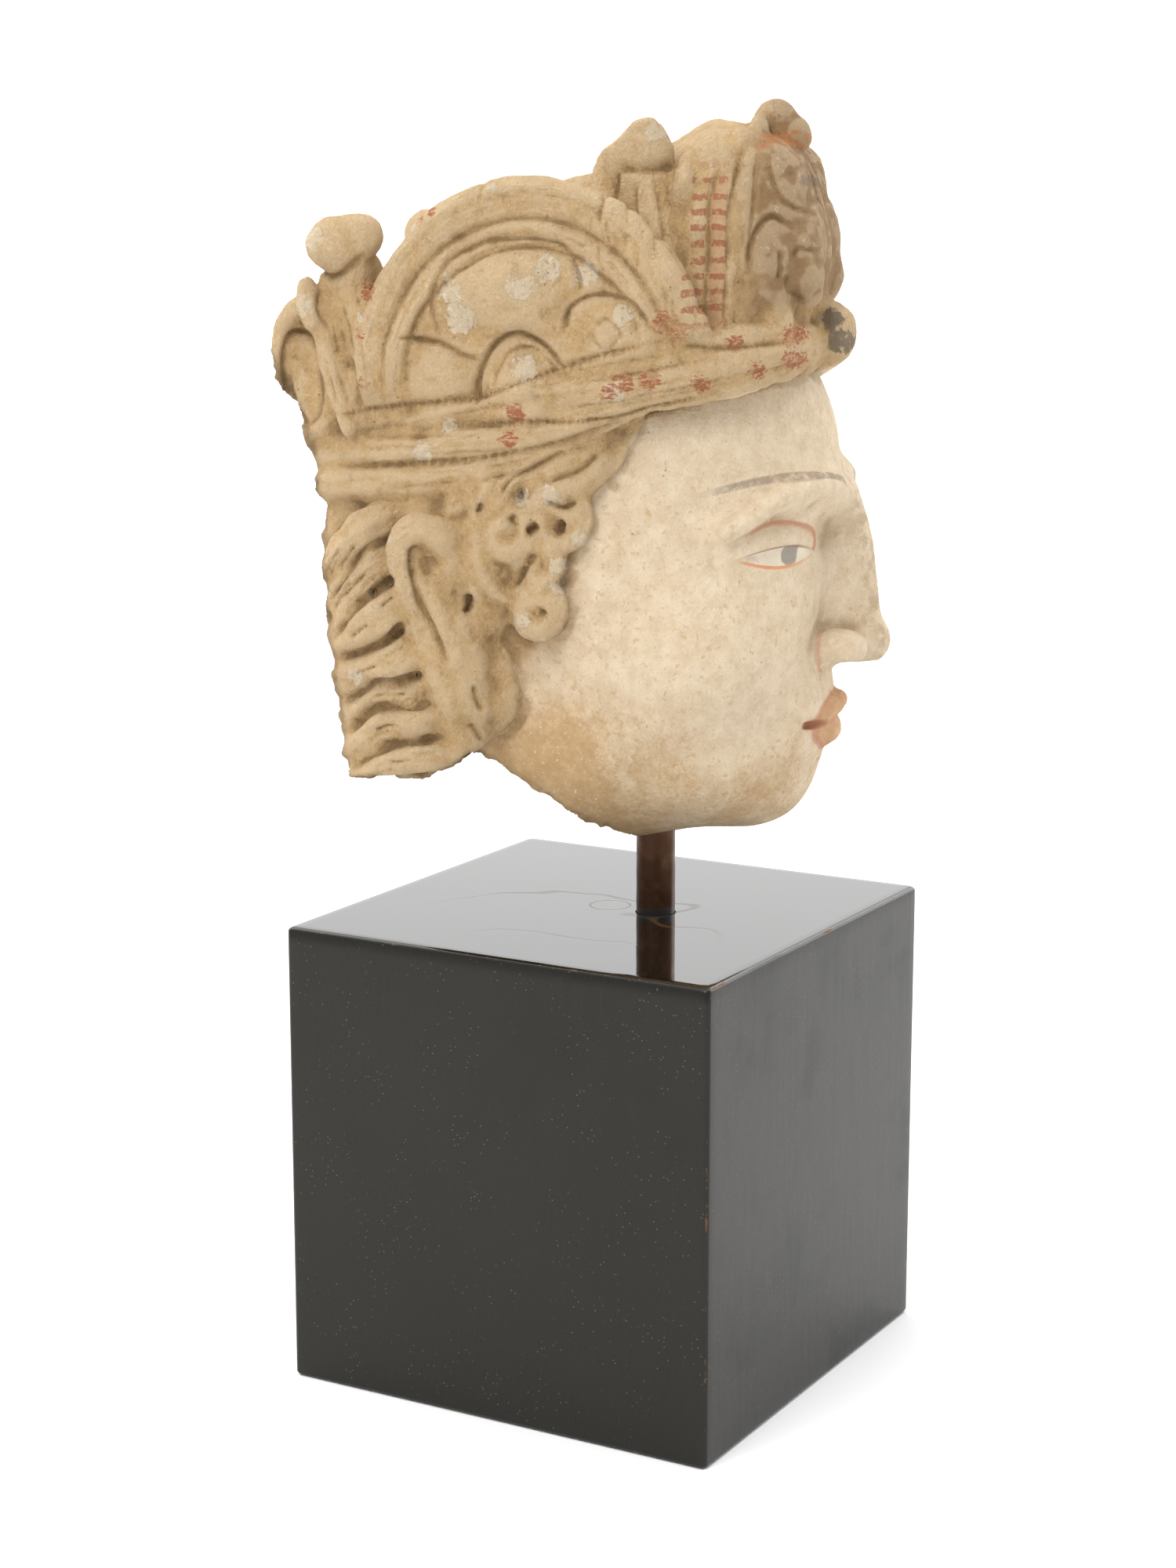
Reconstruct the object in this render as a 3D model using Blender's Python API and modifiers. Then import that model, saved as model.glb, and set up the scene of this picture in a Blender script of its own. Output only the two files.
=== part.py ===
"""Head of a crowned bodhisattva in painted lime stucco, on a turned-in rod and a black wooden block.

Three pieces: the head, broken off at the neck and the back, the metal rod that carries it, and the block.
The frame is in metres with +Z up. Its origin is the middle of the block's underside, and the block's
front face looks along -Y. The head stands on the rod with its face turned a little from the block's front.

The head is a free form, so it is laid out in parts of its own height. One part is HEAD_HEIGHT / 232,
and a place is (across, back, up) from the point where the rod enters, with the face towards -Y.
"""

import math

import bmesh
import bpy
import numpy as np
from mathutils import Matrix

# Driving dimensions, in metres and degrees.
BLOCK_SIDE = 0.1524
BLOCK_HEIGHT = 0.1524
BLOCK_EDGE = 0.0016
ROD_DIAMETER = 0.0127
ROD_FORWARD = 0.017
ROD_IN_BLOCK = 0.050
ROD_SHOWING = 0.0243
ROD_IN_HEAD = 0.070
ROD_CLEARANCE = 0.0003
HEAD_HEIGHT = 0.232
HEAD_TURN = 18.0

PARTS = 232.0
PART = HEAD_HEIGHT / PARTS
HEAD_BASE = BLOCK_HEIGHT + ROD_SHOWING
VOXEL = 2.0
KEPT_FACES = 0.080
ROUND_SIDES = 48

SKULL_COLUMNS = 160
SKULL_ROWS = 120
SKULL_CENTRE = (0.0, 8.0, 76.0)
LEAN = 0.115
LEAN_LEVEL = 120.0


def start_empty():
    """Removes what the scene holds. Returns a collection for the finished pieces and one for cutters."""
    for old in list(bpy.data.objects):
        bpy.data.objects.remove(old, do_unlink=True)
    made = []
    for name in ("Bodhisattva head", "Cutters"):
        collection = bpy.data.collections.new(name)
        bpy.context.scene.collection.children.link(collection)
        made.append(collection)
    return made


def material(name, colour, roughness, metallic=0.0):
    """A plain Principled material in the piece's own colour."""
    made = bpy.data.materials.new(name)
    made.use_nodes = True
    shader = made.node_tree.nodes["Principled BSDF"]
    shader.inputs["Base Color"].default_value = (*colour, 1.0)
    shader.inputs["Roughness"].default_value = roughness
    shader.inputs["Metallic"].default_value = metallic
    return made


# The bare head: rounded masses run together, as a modeller builds up clay.


def ball(place, centre, radii):
    """Distance from an ellipsoid, near enough, for an array of places."""
    offset = place - np.asarray(centre, float)
    radii = np.asarray(radii, float)
    near = np.linalg.norm(offset / radii, axis=-1)
    steep = np.linalg.norm(offset / radii**2, axis=-1) + 1e-9
    return near * (near - 1.0) / steep


def rib(place, points, radii):
    """Distance from a tapering rod through the points."""
    nearest = np.full(place.shape[:-1], np.inf)
    for start, end, wide, narrow in zip(points, points[1:], radii, radii[1:]):
        start, run = np.asarray(start, float), np.subtract(end, start).astype(float)
        along = np.clip((place - start) @ run / (run @ run), 0.0, 1.0)
        gap = np.linalg.norm(place - start - along[..., None] * run, axis=-1)
        nearest = np.minimum(nearest, gap - wide - (narrow - wide) * along)
    return nearest


def add(form, more, fillet):
    """Two forms as one, with a fillet of that width between them."""
    share = np.clip(0.5 + 0.5 * (more - form) / fillet, 0.0, 1.0)
    return more + (form - more) * share - fillet * share * (1.0 - share)


def carve(form, tool, fillet):
    """The form with the tool's shape taken out of it."""
    return -add(-form, tool, fillet)


def masses(place, out, back, up):
    """The skull, face, jaw, cheeks, chin and the ground of the mouth, with the eye sockets sunk."""
    form = ball(place, (0, 26, 114), (58, 84, 74))
    form = add(form, ball(place, (0, -3, 72), (54, 56, 64)), 18)
    form = add(form, ball(place, (0, 6, 42), (47, 54, 40)), 14)
    form = add(form, ball(place, (0, 66, 84), (51, 62, 70)), 16)
    form = add(form, ball(place, (29, -26, 68), (23, 24, 26)), 16)
    form = add(form, ball(place, (0, -46, 22), (18, 15, 14)), 14)
    form = add(form, ball(place, (0, -50, 45), (24, 15, 20)), 12)
    form = carve(form, ball(place, (25, -69, 101), (19, 10, 10)), 9)
    brow = [(4, -58.5, 110), (15, -58, 117), (28, -54.5, 119.5), (42, -45, 116), (51, -33, 108)]
    return add(form, rib(place, brow, (2.4, 2.6, 2.6, 2.2, 1.5)), 12)


def nose(place, back, up):
    """The straight nose with its wings, cut level below and pierced by the nostrils."""
    form = ball(place, (0, -57, 84), (10.5, 15, 32))
    form = add(form, rib(place, [(0, -60, 113), (0, -73.0, 70)], (4.2, 5.4)), 7)
    form = add(form, ball(place, (0, -72.5, 66.5), (7.6, 7.8, 7.0)), 5)
    form = add(form, ball(place, (10.2, -65.5, 65), (5.8, 8.6, 6.0)), 3)
    form = np.maximum(form, 59.5 - up - 0.10 * (back + 60))
    return carve(form, ball(place, (5.8, -69, 58.5), (2.9, 5.5, 3.2)), 1.5)


def eyes(form, place, out, up):
    """Long half-closed eyes: the ball, a heavy upper lid and a thin lower one round an almond opening."""
    form = add(form, ball(place, (27, -42.5, 98.5), (17, 13.4, 11)), 2.0)
    upper_edge = 98.0 + 3.4 * (1 - ((out - 27) / 15.5) ** 2)
    upper = np.maximum(ball(place, (27, -42.5, 100), (20, 15.3, 13)), upper_edge - up)
    form = add(form, upper, 1.6)
    lower_edge = 96.8 - 3.0 * (1 - ((out - 28) / 15.0) ** 2)
    lower = np.maximum(ball(place, (27, -42.5, 97.5), (19, 14.4, 11)), up - lower_edge)
    return add(form, lower, 1.8)


def mouth(form, place):
    """Full bow-shaped lips with the line between them, and the groove above."""
    upper = [(0, -65.6, 46.5), (4.5, -66.0, 47.4), (11, -63.2, 45.9), (19, -56.8, 43.0)]
    form = add(form, rib(place, upper, (3.6, 3.8, 3.3, 1.2)), 2.6)
    lower = [(0, -64.6, 38.2), (7, -64.0, 38.2), (14, -60.2, 39.9), (19, -56.6, 42.0)]
    form = add(form, rib(place, lower, (4.8, 4.6, 3.2, 1.1)), 2.6)
    line = [(0, -70.8, 42.5), (6, -70.2, 43.0), (13, -65.6, 42.4), (21, -57.8, 42.6)]
    form = carve(form, rib(place, line, (1.1, 1.1, 1.0, 1.2)), 1.4)
    return carve(form, rib(place, [(0, -69.0, 58), (0, -71.2, 51)], (1.6, 2.0)), 3.0)


def head_form(place):
    """Distance from the bare head, the same on both sides of its middle and leaning forward a little."""
    half = place.copy()
    half[..., 0] = np.abs(half[..., 0])
    half[..., 1] -= LEAN * (LEAN_LEVEL - half[..., 2])
    out, back, up = half[..., 0], half[..., 1], half[..., 2]
    form = masses(half, out, back, up)
    form = add(form, nose(half, back, up), 4.5)
    form = eyes(form, half, out, up)
    return mouth(form, half)


def skull_mesh():
    """The bare head: a sphere whose points are drawn in along their own rays until they meet the form."""
    skull = bmesh.new()
    bmesh.ops.create_uvsphere(skull, u_segments=SKULL_COLUMNS, v_segments=SKULL_ROWS, radius=1.0)
    rays = np.array([corner.co for corner in skull.verts], float)
    rays /= np.linalg.norm(rays, axis=1, keepdims=True)
    reach = np.full(len(rays), 135.0)
    centre = np.asarray(SKULL_CENTRE)
    for _ in range(50):
        reach -= 0.75 * head_form(centre + reach[:, None] * rays)
    for corner, spot in zip(skull.verts, centre + reach[:, None] * rays):
        corner.co = spot * PART
    mesh = bpy.data.meshes.new("skull")
    skull.to_mesh(mesh)
    skull.free()
    return mesh


# The dress of the head: rolls, ridges and knobs laid on it.


def eased(points, count):
    """A smooth route of that many places through a few points, as a Catmull-Rom curve."""
    points = np.asarray(points, float)
    ends = np.vstack([2 * points[0] - points[1], points, 2 * points[-1] - points[-2]])
    at = np.linspace(0, len(points) - 1, count)
    step = np.minimum(at.astype(int), len(points) - 2)
    t = (at - step)[:, None]
    a, b, c, d = (ends[step + k] for k in range(4))
    return 0.5 * (2 * b + (c - a) * t + (2 * a - 5 * b + 4 * c - d) * t**2 + (3 * b - a - 3 * c + d) * t**3)


def roll(name, route, radii):
    """A roll of stucco along a route, with its ends closed and its radii spread evenly from end to end."""
    curve = bpy.data.curves.new(name, "CURVE")
    curve.dimensions = "3D"
    curve.bevel_depth = PART
    curve.bevel_resolution = 3
    curve.use_fill_caps = True
    line = curve.splines.new("POLY")
    line.points.add(len(route) - 1)
    thickness = np.interp(np.linspace(0, 1, len(route)), np.linspace(0, 1, len(radii)), radii)
    for point, spot, radius in zip(line.points, route, thickness):
        point.co = (*(np.asarray(spot) * PART), 1.0)
        point.radius = radius
    return bpy.data.objects.new(name, curve)


def knob(name, centre, radii, lean=0.0):
    """A rounded knob, boss or pad: a sphere stretched to three radii, leaning about the across axis."""
    lump = bmesh.new()
    bmesh.ops.create_uvsphere(lump, u_segments=40, v_segments=24, radius=1.0)
    shape = Matrix.Diagonal((*(r * PART for r in radii), 1.0))
    tilt = Matrix.Rotation(math.radians(lean), 4, "X")
    place = Matrix.Translation([c * PART for c in centre])
    bmesh.ops.transform(lump, verts=lump.verts, matrix=place @ tilt @ shape)
    mesh = bpy.data.meshes.new(name)
    lump.to_mesh(mesh)
    lump.free()
    return bpy.data.objects.new(name, mesh)


BAND_SLOPE = -0.30
BAND_MIDDLE = 148.0


def band_place(angle, lift, proud, side):
    """A place on the turban's band: an angle from the forehead round, and a lift across its width."""
    deep = np.where(np.cos(angle) > 0, 76.0, 130.0)
    out = (61.0 + proud) * np.sin(angle)
    back = 24.0 - (deep + proud) * np.cos(angle)
    return np.stack([side * out, back, BAND_MIDDLE + BAND_SLOPE * back + lift], -1)


def band():
    """The twisted cloth band: rolls that lie side by side at the back and close up towards the forehead."""
    made = []
    angle = np.linspace(math.radians(-8), math.radians(125), 40)
    turn = (angle - angle[0]) / (angle[-1] - angle[0])
    strands = ((4.6, 9.0, 5.6, 7.2), (-0.6, 2.0, 5.2, 6.4), (-5.2, -5.0, 4.6, 6.4))
    for side in (-1, 1):
        for number, (front, rear, thin, thick) in enumerate(strands):
            sway = 1.2 * np.sin(3.2 * math.pi * turn + 2.1 * number)
            lift = front + (rear - front) * turn + sway
            made.append(roll("band", band_place(angle, lift, 0.7 * number - 0.6, side), (thin, thick)))
        low = np.linspace(math.radians(72), math.radians(125), 24)
        drop = np.linspace(-4.5, -10.5, 24)
        made.append(roll("band", band_place(low, drop, -1.0, side), (1.5, 5.0, 7.4, 8.0, 8.0)))
    return made


ARCH_MIDDLE = (28.0, 150.0)
ARCH_RIDGES = ((50.0, 57.0, 4.3), (45.8, 51.6, 3.2), (42.2, 46.8, 4.2))


def arch_place(angle, wide, tall, side, out=65.5):
    """A place on one of the arch's ridges, which lean in slightly with the skull."""
    up = ARCH_MIDDLE[1] + tall * np.sin(angle)
    across = side * (out - 0.10 * (up - ARCH_MIDDLE[1]))
    return np.stack([across, ARCH_MIDDLE[0] + wide * np.cos(angle), up], -1)


def side_arch(side):
    """The ribbed arch over the ear, with the domed flower that fills it."""
    made = [knob("arch wall", (side * 53, 28, 170), (10, 46, 38))]
    angle = np.linspace(math.radians(-6), math.radians(166), 60)
    for wide, tall, thick in ARCH_RIDGES:
        made.append(roll("arch", arch_place(angle, wide, tall, side), (thick, thick)))
    made.append(knob("flower", (side * 61, 30, 170), (9.5, 25, 23)))
    made.append(knob("petal", (side * 63, 4, 163), (6.5, 14, 14)))
    made.append(knob("petal", (side * 63, 53, 152), (6, 14, 13)))
    made.append(knob("bud", (side * 66, 28, 150), (7, 13, 15)))
    return made


def rear_loop(side):
    """The loop of cloth behind the arch, with its folds and the knob above."""
    angle = np.linspace(0, 2 * math.pi, 30)
    ring = np.stack([side * np.full(30, 58.0), 101 + 7.5 * np.cos(angle), 158 + 15 * np.sin(angle)], -1)
    made = [roll("loop", ring, (3.6, 3.6)), knob("loop ground", (side * 52, 95, 156), (9, 15, 21))]
    for shift, thick in ((0, 5.2), (8, 4.6)):
        top = (side * 58, 93 - shift, 178 + shift / 2)
        foot = (side * 60, 84 - shift / 2, 138)
        fold = eased([top, (side * 61, 88 - shift, 158), foot], 14)
        made.append(roll("fold", fold, (thick, thick, 3.4)))
    made.append(knob("rear pad", (side * 49, 84, 160), (12, 16, 27)))
    made.append(knob("rear knob", (side * 57, 89, 190), (10, 10.5, 10)))
    made.append(knob("rear bead", (side * 54, 79, 189), (8, 8, 8)))
    return made


def hair_knot(side, top):
    """The bound knot of hair between arch and plume, broken off at the top."""
    stem = eased([(side * 34, -8, 166), (side * 33, -2, 190), (side * 31, 3, top - 14)], 12)
    stump = eased([(side * 31, 1, top - 16), (side * 30, 3, top - 8), (side * 31, 7, top)], 8)
    fold = eased([(side * 46, -14, 168), (side * 45, -7, 188), (side * 40, -5, 206)], 12)
    made = [roll("knot", stem, (9.5, 10.5, 10.0)), roll("knot fold", fold, (5.0, 6.4, 5.0))]
    made.append(roll("knot stump", stump, (11.0, 13.0, 13.0, 10.5)))
    made.append(knob("knot end", (side * 40, -11, 208), (4.5, 4.5, 8)))
    return made


def plume(side):
    """Half of the fan-shaped plume over the forehead, with its pleats and scrolls."""
    made = []
    for back, thick in ((-19.5, 4.6), (-27.0, 4.2)):
        pleat = eased([(side * 44, back - 1, 164), (side * 43, back, 188), (side * 36, back + 1, 216)], 14)
        made.append(roll("pleat", pleat, (thick, thick, 3.6)))
    edge = eased([(38, -33, 166), (36, -34, 196), (28, -30, 220), (12, -29, 229)], 18) * (side, 1, 1)
    made.append(roll("plume edge", edge, (4.0, 4.6, 4.2, 3.4)))
    made.append(knob("scroll", (side * 21, -45, 203), (9, 8, 12), lean=-25))
    hook = eased([(31, -40, 172), (32, -41, 184), (25, -48, 190), (18, -53, 184)], 14) * (side, 1, 1)
    made.append(roll("hook", hook, (3.4, 4.2, 3.6, 3.0)))
    made.append(knob("bud", (side * 17, -49, 175), (6, 6, 8)))
    return made


def crown():
    """Everything on the crown, both sides, with the plume's ground and the jewel on the forehead."""
    made = band()
    for side, top in ((-1, 227), (1, 221)):
        made += side_arch(side) + rear_loop(side) + hair_knot(side, top) + plume(side)
    for number in range(-3, 4):
        out = 13.0 * number
        top = 192 - 0.0052 * out**2
        back = (out * 0.9, 94, top - 30)
        route = eased([(out, 2, top - 6), (out, 32, top), (out, 66, top - 8), back], 20)
        made.append(roll("crown hair", route, (7.5, 8.0, 7.5)))
    made.append(knob("plume ground", (0, -23, 186), (39, 31, 42)))
    made.append(knob("plume knob", (-3, -38, 228), (7.5, 8, 8)))
    made.append(knob("jewel", (0, -53, 163), (12, 8, 10)))
    made.append(knob("crown back", (0, 75, 150), (56, 21, 36)))
    return made


def curl(side, centre, size, start, thick):
    """A lock wound round a drilled hole: a roll along a closing spiral."""
    turn = np.linspace(0, 1, 26)
    angle = np.radians(start + 400 * turn)
    reach = size * (1 - 0.58 * turn)
    out = side * (centre[0] - 1.5 + 2.5 * turn)
    route = np.stack([out, centre[1] + reach * np.cos(angle), centre[2] + reach * np.sin(angle)], -1)
    return roll("curl", route, (thick, thick, 0.7 * thick))


def side_hair(side):
    """Waves from the temple, the curls before the ear, and the long locks behind it."""
    made = [knob("temple pad", (side * 53, 27, 108), (10, 18, 25))]
    made.append(knob("low pad", (side * 53, 29, 86), (9, 9, 13)))
    waves = (
        ((52, -3, 138), (56, 5, 128), (59, 13, 122), (60, 17, 117)),
        ((55, 2, 136), (59, 12, 127), (62, 23, 122), (62, 29, 115)),
        ((58, 13, 132), (61, 24, 127), (63, 34, 121), (63, 38, 113)),
        ((59, 22, 129), (62, 33, 124), (63, 41, 115), (62, 42, 105)),
    )
    for wave in waves:
        made.append(roll("wave", eased([(side * x, y, z) for x, y, z in wave], 16), (2.2, 3.4, 3.8, 3.0)))
    made.append(curl(side, (63.0, 20, 108), 7.5, 60, 3.2))
    made.append(curl(side, (64.5, 35, 99), 6.5, 120, 3.0))
    made.append(curl(side, (61.0, 22, 96), 6.0, 200, 2.8))
    made.append(curl(side, (62.0, 28, 84), 7.5, 20, 3.1))
    fall = eased([(side * 50, 80, 108), (side * 51, 77, 75), (side * 49, 74, 36)], 14)
    made.append(roll("hair behind", fall, (12, 12.5, 11)))
    for number in range(9):
        drop = 8.7 * number
        start = (side * 60, 73 - 1.9 * number, 108 - drop)
        middle = (side * 63, 80 - 0.9 * number, 99 - 8.0 * number + 0.35 * number)
        end = (side * 57, 93, 84 - 7.1 * number)
        made.append(roll("lock", eased([start, middle, end], 14), (3.2, 4.6, 4.6)))
    return made


def ear(side):
    """The long ear: its rim, the inner ridge and the stretched lobe."""
    behind = [(62, 57, 40), (62, 60, 62), (63, 67, 84), (65, 71, 98)]
    over = [(66, 69, 109), (66, 61, 114), (66, 53, 110), (64, 50, 99), (62, 47, 84)]
    rim = eased(behind + over, 50) * (side, 1, 1)
    made = [roll("ear rim", rim, (3.6, 3.4, 3.4, 3.8, 4.0, 3.2))]
    inner = eased([(63, 62, 98), (63, 61, 84), (62, 57, 72), (60, 53, 62)], 20) * (side, 1, 1)
    made.append(roll("ear ridge", inner, (2.6, 3.4, 3.6, 3.4)))
    made.append(knob("ear ground", (side * 58, 59, 92), (6, 10, 22)))
    lobe = eased([(57, 56, 82), (56, 51, 66), (54, 47, 52), (52, 46, 42)], 20) * (side, 1, 1)
    made.append(roll("lobe", lobe, (8, 9, 9.5, 9)))
    return made


def rough(a, b):
    """An uneven height for broken plaster, from a few crossing waves."""
    return 0.9 * np.sin(0.31 * a + 0.9 * np.sin(0.17 * b)) + 0.7 * np.sin(0.43 * b + 0.12 * a + 1.0)


def break_off(place):
    """Draws what lies past the two breaks back onto them: the back, and the neck behind the jaw."""
    out, back, up = place.T
    limit = 88.5 + 0.085 * (up - 28) + 0.40 * np.clip(up - 133, 0, 32) + rough(out, up)
    floor = np.interp(back, (2, 17, 31, 41, 50, 60, 92), (7, 13, 24, 29, 34, 29, 27)) + rough(out, back)
    reach = np.clip((back - 2) / 12, 0, 1)
    cut = np.maximum(up, floor * reach + np.minimum(up, floor) * (1 - reach))
    return np.stack([out, np.minimum(back, limit), cut], -1)


def joined(name, pieces, collection):
    """The pieces as one mesh object, with their ends closed and the breaks made."""
    whole = bmesh.new()
    for piece in pieces:
        collection.objects.link(piece)
    bpy.context.view_layer.update()
    view = bpy.context.evaluated_depsgraph_get()
    for piece in pieces:
        whole.from_mesh(bpy.data.meshes.new_from_object(piece.evaluated_get(view)))
        bpy.data.objects.remove(piece)
    bmesh.ops.remove_doubles(whole, verts=whole.verts, dist=PART * 0.01)
    mesh = bpy.data.meshes.new(name)
    whole.to_mesh(mesh)
    whole.free()
    spots = np.empty(len(mesh.vertices) * 3)
    mesh.vertices.foreach_get("co", spots)
    mesh.vertices.foreach_set("co", (break_off(spots.reshape(-1, 3) / PART) * PART).ravel())
    made = bpy.data.objects.new(name, mesh)
    collection.objects.link(made)
    return made


def upright(name, radius, bottom, top):
    """A round bar on the rod's line, from one height to the other."""
    bpy.ops.mesh.primitive_cylinder_add(vertices=ROUND_SIDES, radius=radius, depth=top - bottom)
    bar = bpy.context.object
    bar.name = name
    bar.location = (0, -ROD_FORWARD, (bottom + top) / 2)
    return bar


def rod_cutter(name, bottom, top, collection):
    """The rod's socket, a clearance wider than the rod."""
    cutter = upright(name, ROD_DIAMETER / 2 + ROD_CLEARANCE, bottom, top)
    cutter.hide_render = True
    cutter.display_type = "WIRE"
    file_under(cutter, collection)
    return cutter


def file_under(piece, collection):
    """Moves the object into the collection."""
    for holder in list(piece.users_collection):
        holder.objects.unlink(piece)
    collection.objects.link(piece)


def drill(piece, cutter):
    """Cuts the socket out of the piece."""
    cut = piece.modifiers.new("socket", "BOOLEAN")
    cut.operation = "DIFFERENCE"
    cut.object = cutter


def head(collection, cutters):
    """The stucco head as one solid, set on the rod."""
    skull = bpy.data.objects.new("skull", skull_mesh())
    pieces = [skull, *crown()]
    for side in (-1, 1):
        pieces += side_hair(side) + ear(side)
    made = joined("head", pieces, collection)
    made.location = (0, -ROD_FORWARD, HEAD_BASE)
    made.rotation_euler = (0, 0, math.radians(HEAD_TURN))
    fuse = made.modifiers.new("fuse", "REMESH")
    fuse.mode = "VOXEL"
    fuse.voxel_size = VOXEL * PART
    soften = made.modifiers.new("soften", "SMOOTH")
    soften.factor = 0.5
    soften.iterations = 1
    thin = made.modifiers.new("fewer faces", "DECIMATE")
    thin.ratio = KEPT_FACES
    thin.use_collapse_triangulate = True
    drill(made, rod_cutter("head socket", BLOCK_HEIGHT, HEAD_BASE + ROD_IN_HEAD, cutters))
    made.data.materials.append(material("stucco", (0.62, 0.50, 0.35), 0.85))
    made.data.shade_smooth()
    return made


def rod(collection):
    """The plain round rod, standing in the block's socket and in the head's."""
    bottom = BLOCK_HEIGHT - ROD_IN_BLOCK + ROD_CLEARANCE
    top = HEAD_BASE + ROD_IN_HEAD - ROD_CLEARANCE
    made = upright("rod", ROD_DIAMETER / 2, bottom, top)
    made.data.materials.append(material("browned steel", (0.12, 0.07, 0.05), 0.35, 0.9))
    made.data.shade_smooth()
    made.data.set_sharp_from_angle(angle=math.radians(35))
    file_under(made, collection)
    return made


def block(collection, cutters):
    """The lacquered wooden block, with its edges just broken and a socket for the rod."""
    bpy.ops.mesh.primitive_cube_add(size=1.0)
    made = bpy.context.object
    made.name = "block"
    made.data.transform(Matrix.Diagonal((BLOCK_SIDE, BLOCK_SIDE, BLOCK_HEIGHT, 1.0)))
    made.location = (0, 0, BLOCK_HEIGHT / 2)
    edge = made.modifiers.new("broken edges", "BEVEL")
    edge.width = BLOCK_EDGE
    edge.segments = 3
    drill(made, rod_cutter("block socket", BLOCK_HEIGHT - ROD_IN_BLOCK, HEAD_BASE, cutters))
    made.data.materials.append(material("black lacquer", (0.015, 0.014, 0.013), 0.2))
    file_under(made, collection)
    return made


def main():
    """Builds the three pieces."""
    pieces, cutters = start_empty()
    block(pieces, cutters)
    rod(pieces)
    head(pieces, cutters)


main()
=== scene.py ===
"""A broken-off stucco head of a crowned bodhisattva, on a metal rod in a black lacquered block."""
import functools
import math

import bpy
import numpy as np
from mathutils import Matrix, Vector


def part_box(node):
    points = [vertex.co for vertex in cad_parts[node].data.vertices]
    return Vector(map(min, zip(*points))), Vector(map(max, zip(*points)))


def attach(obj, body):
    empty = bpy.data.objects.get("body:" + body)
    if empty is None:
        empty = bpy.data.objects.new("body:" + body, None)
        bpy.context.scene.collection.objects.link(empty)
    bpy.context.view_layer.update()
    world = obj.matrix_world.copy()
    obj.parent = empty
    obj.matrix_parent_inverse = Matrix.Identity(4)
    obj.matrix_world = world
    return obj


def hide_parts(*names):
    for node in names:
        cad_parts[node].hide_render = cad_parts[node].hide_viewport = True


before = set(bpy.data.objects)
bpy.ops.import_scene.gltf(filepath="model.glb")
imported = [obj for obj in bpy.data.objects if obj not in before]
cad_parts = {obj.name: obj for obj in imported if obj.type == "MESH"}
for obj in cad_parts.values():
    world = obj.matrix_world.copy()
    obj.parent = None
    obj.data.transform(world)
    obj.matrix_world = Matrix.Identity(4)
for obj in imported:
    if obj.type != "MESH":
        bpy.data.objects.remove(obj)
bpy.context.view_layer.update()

# The wooden block: a cube of joined boards under many coats of black lacquer, rubbed to a gloss on top.
# Its sides have gone satin, its edges are worn through to brown wood, and the rod's hole is drilled in front
# of an older one that was plugged.


def placed(name, data):
    """A new object in the scene, at the origin."""
    made = bpy.data.objects.new(name, data)
    bpy.context.scene.collection.objects.link(made)
    return made


def settled(thing):
    """The object's mesh with its modifiers applied."""
    bpy.context.view_layer.update()
    return bpy.data.meshes.new_from_object(thing.evaluated_get(bpy.context.evaluated_depsgraph_get()))


def rings_mesh(name, skins):
    """Closed skins over rings of points: quads between neighbouring rings and a fan to a pole at each end.
    Rings run from the start pole to the end pole, anticlockwise seen from the end pole."""
    points, faces, base = [], [], 0
    for rings, start, end in skins:
        count, around = rings.shape[:2]
        step = np.arange(around)
        turn = np.roll(step, -1)
        row = (np.arange(count - 1) * around)[:, None]
        quads = np.stack([row + step, row + turn, row + around + turn, row + around + step], -1)
        quads = quads.reshape(-1, 4)
        last, pole = (count - 1) * around, count * around
        first_fan = np.stack([np.full(around, pole), turn, step], -1)
        last_fan = np.stack([np.full(around, pole + 1), last + step, last + turn], -1)
        points += [rings.reshape(-1, 3), [start], [end]]
        faces += (base + quads).tolist() + (base + first_fan).tolist() + (base + last_fan).tolist()
        base += pole + 2
    mesh = bpy.data.meshes.new(name)
    mesh.from_pydata(np.vstack(points).tolist(), [], faces)
    mesh.update()
    return mesh


def piece(name, mesh, material, node):
    """Puts a finished mesh in the scene in place of a CAD node, which it hides, on the root body."""
    made = placed(name, mesh)
    mesh.materials.clear()
    mesh.materials.append(material)
    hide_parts(node)
    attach(made, "root")
    return made


def plug_in(tree, socket, value):
    """Feeds a socket from another node's output, or sets it to a plain value."""
    if isinstance(value, bpy.types.NodeSocket):
        tree.links.new(value, socket)
    else:
        socket.default_value = value


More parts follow.
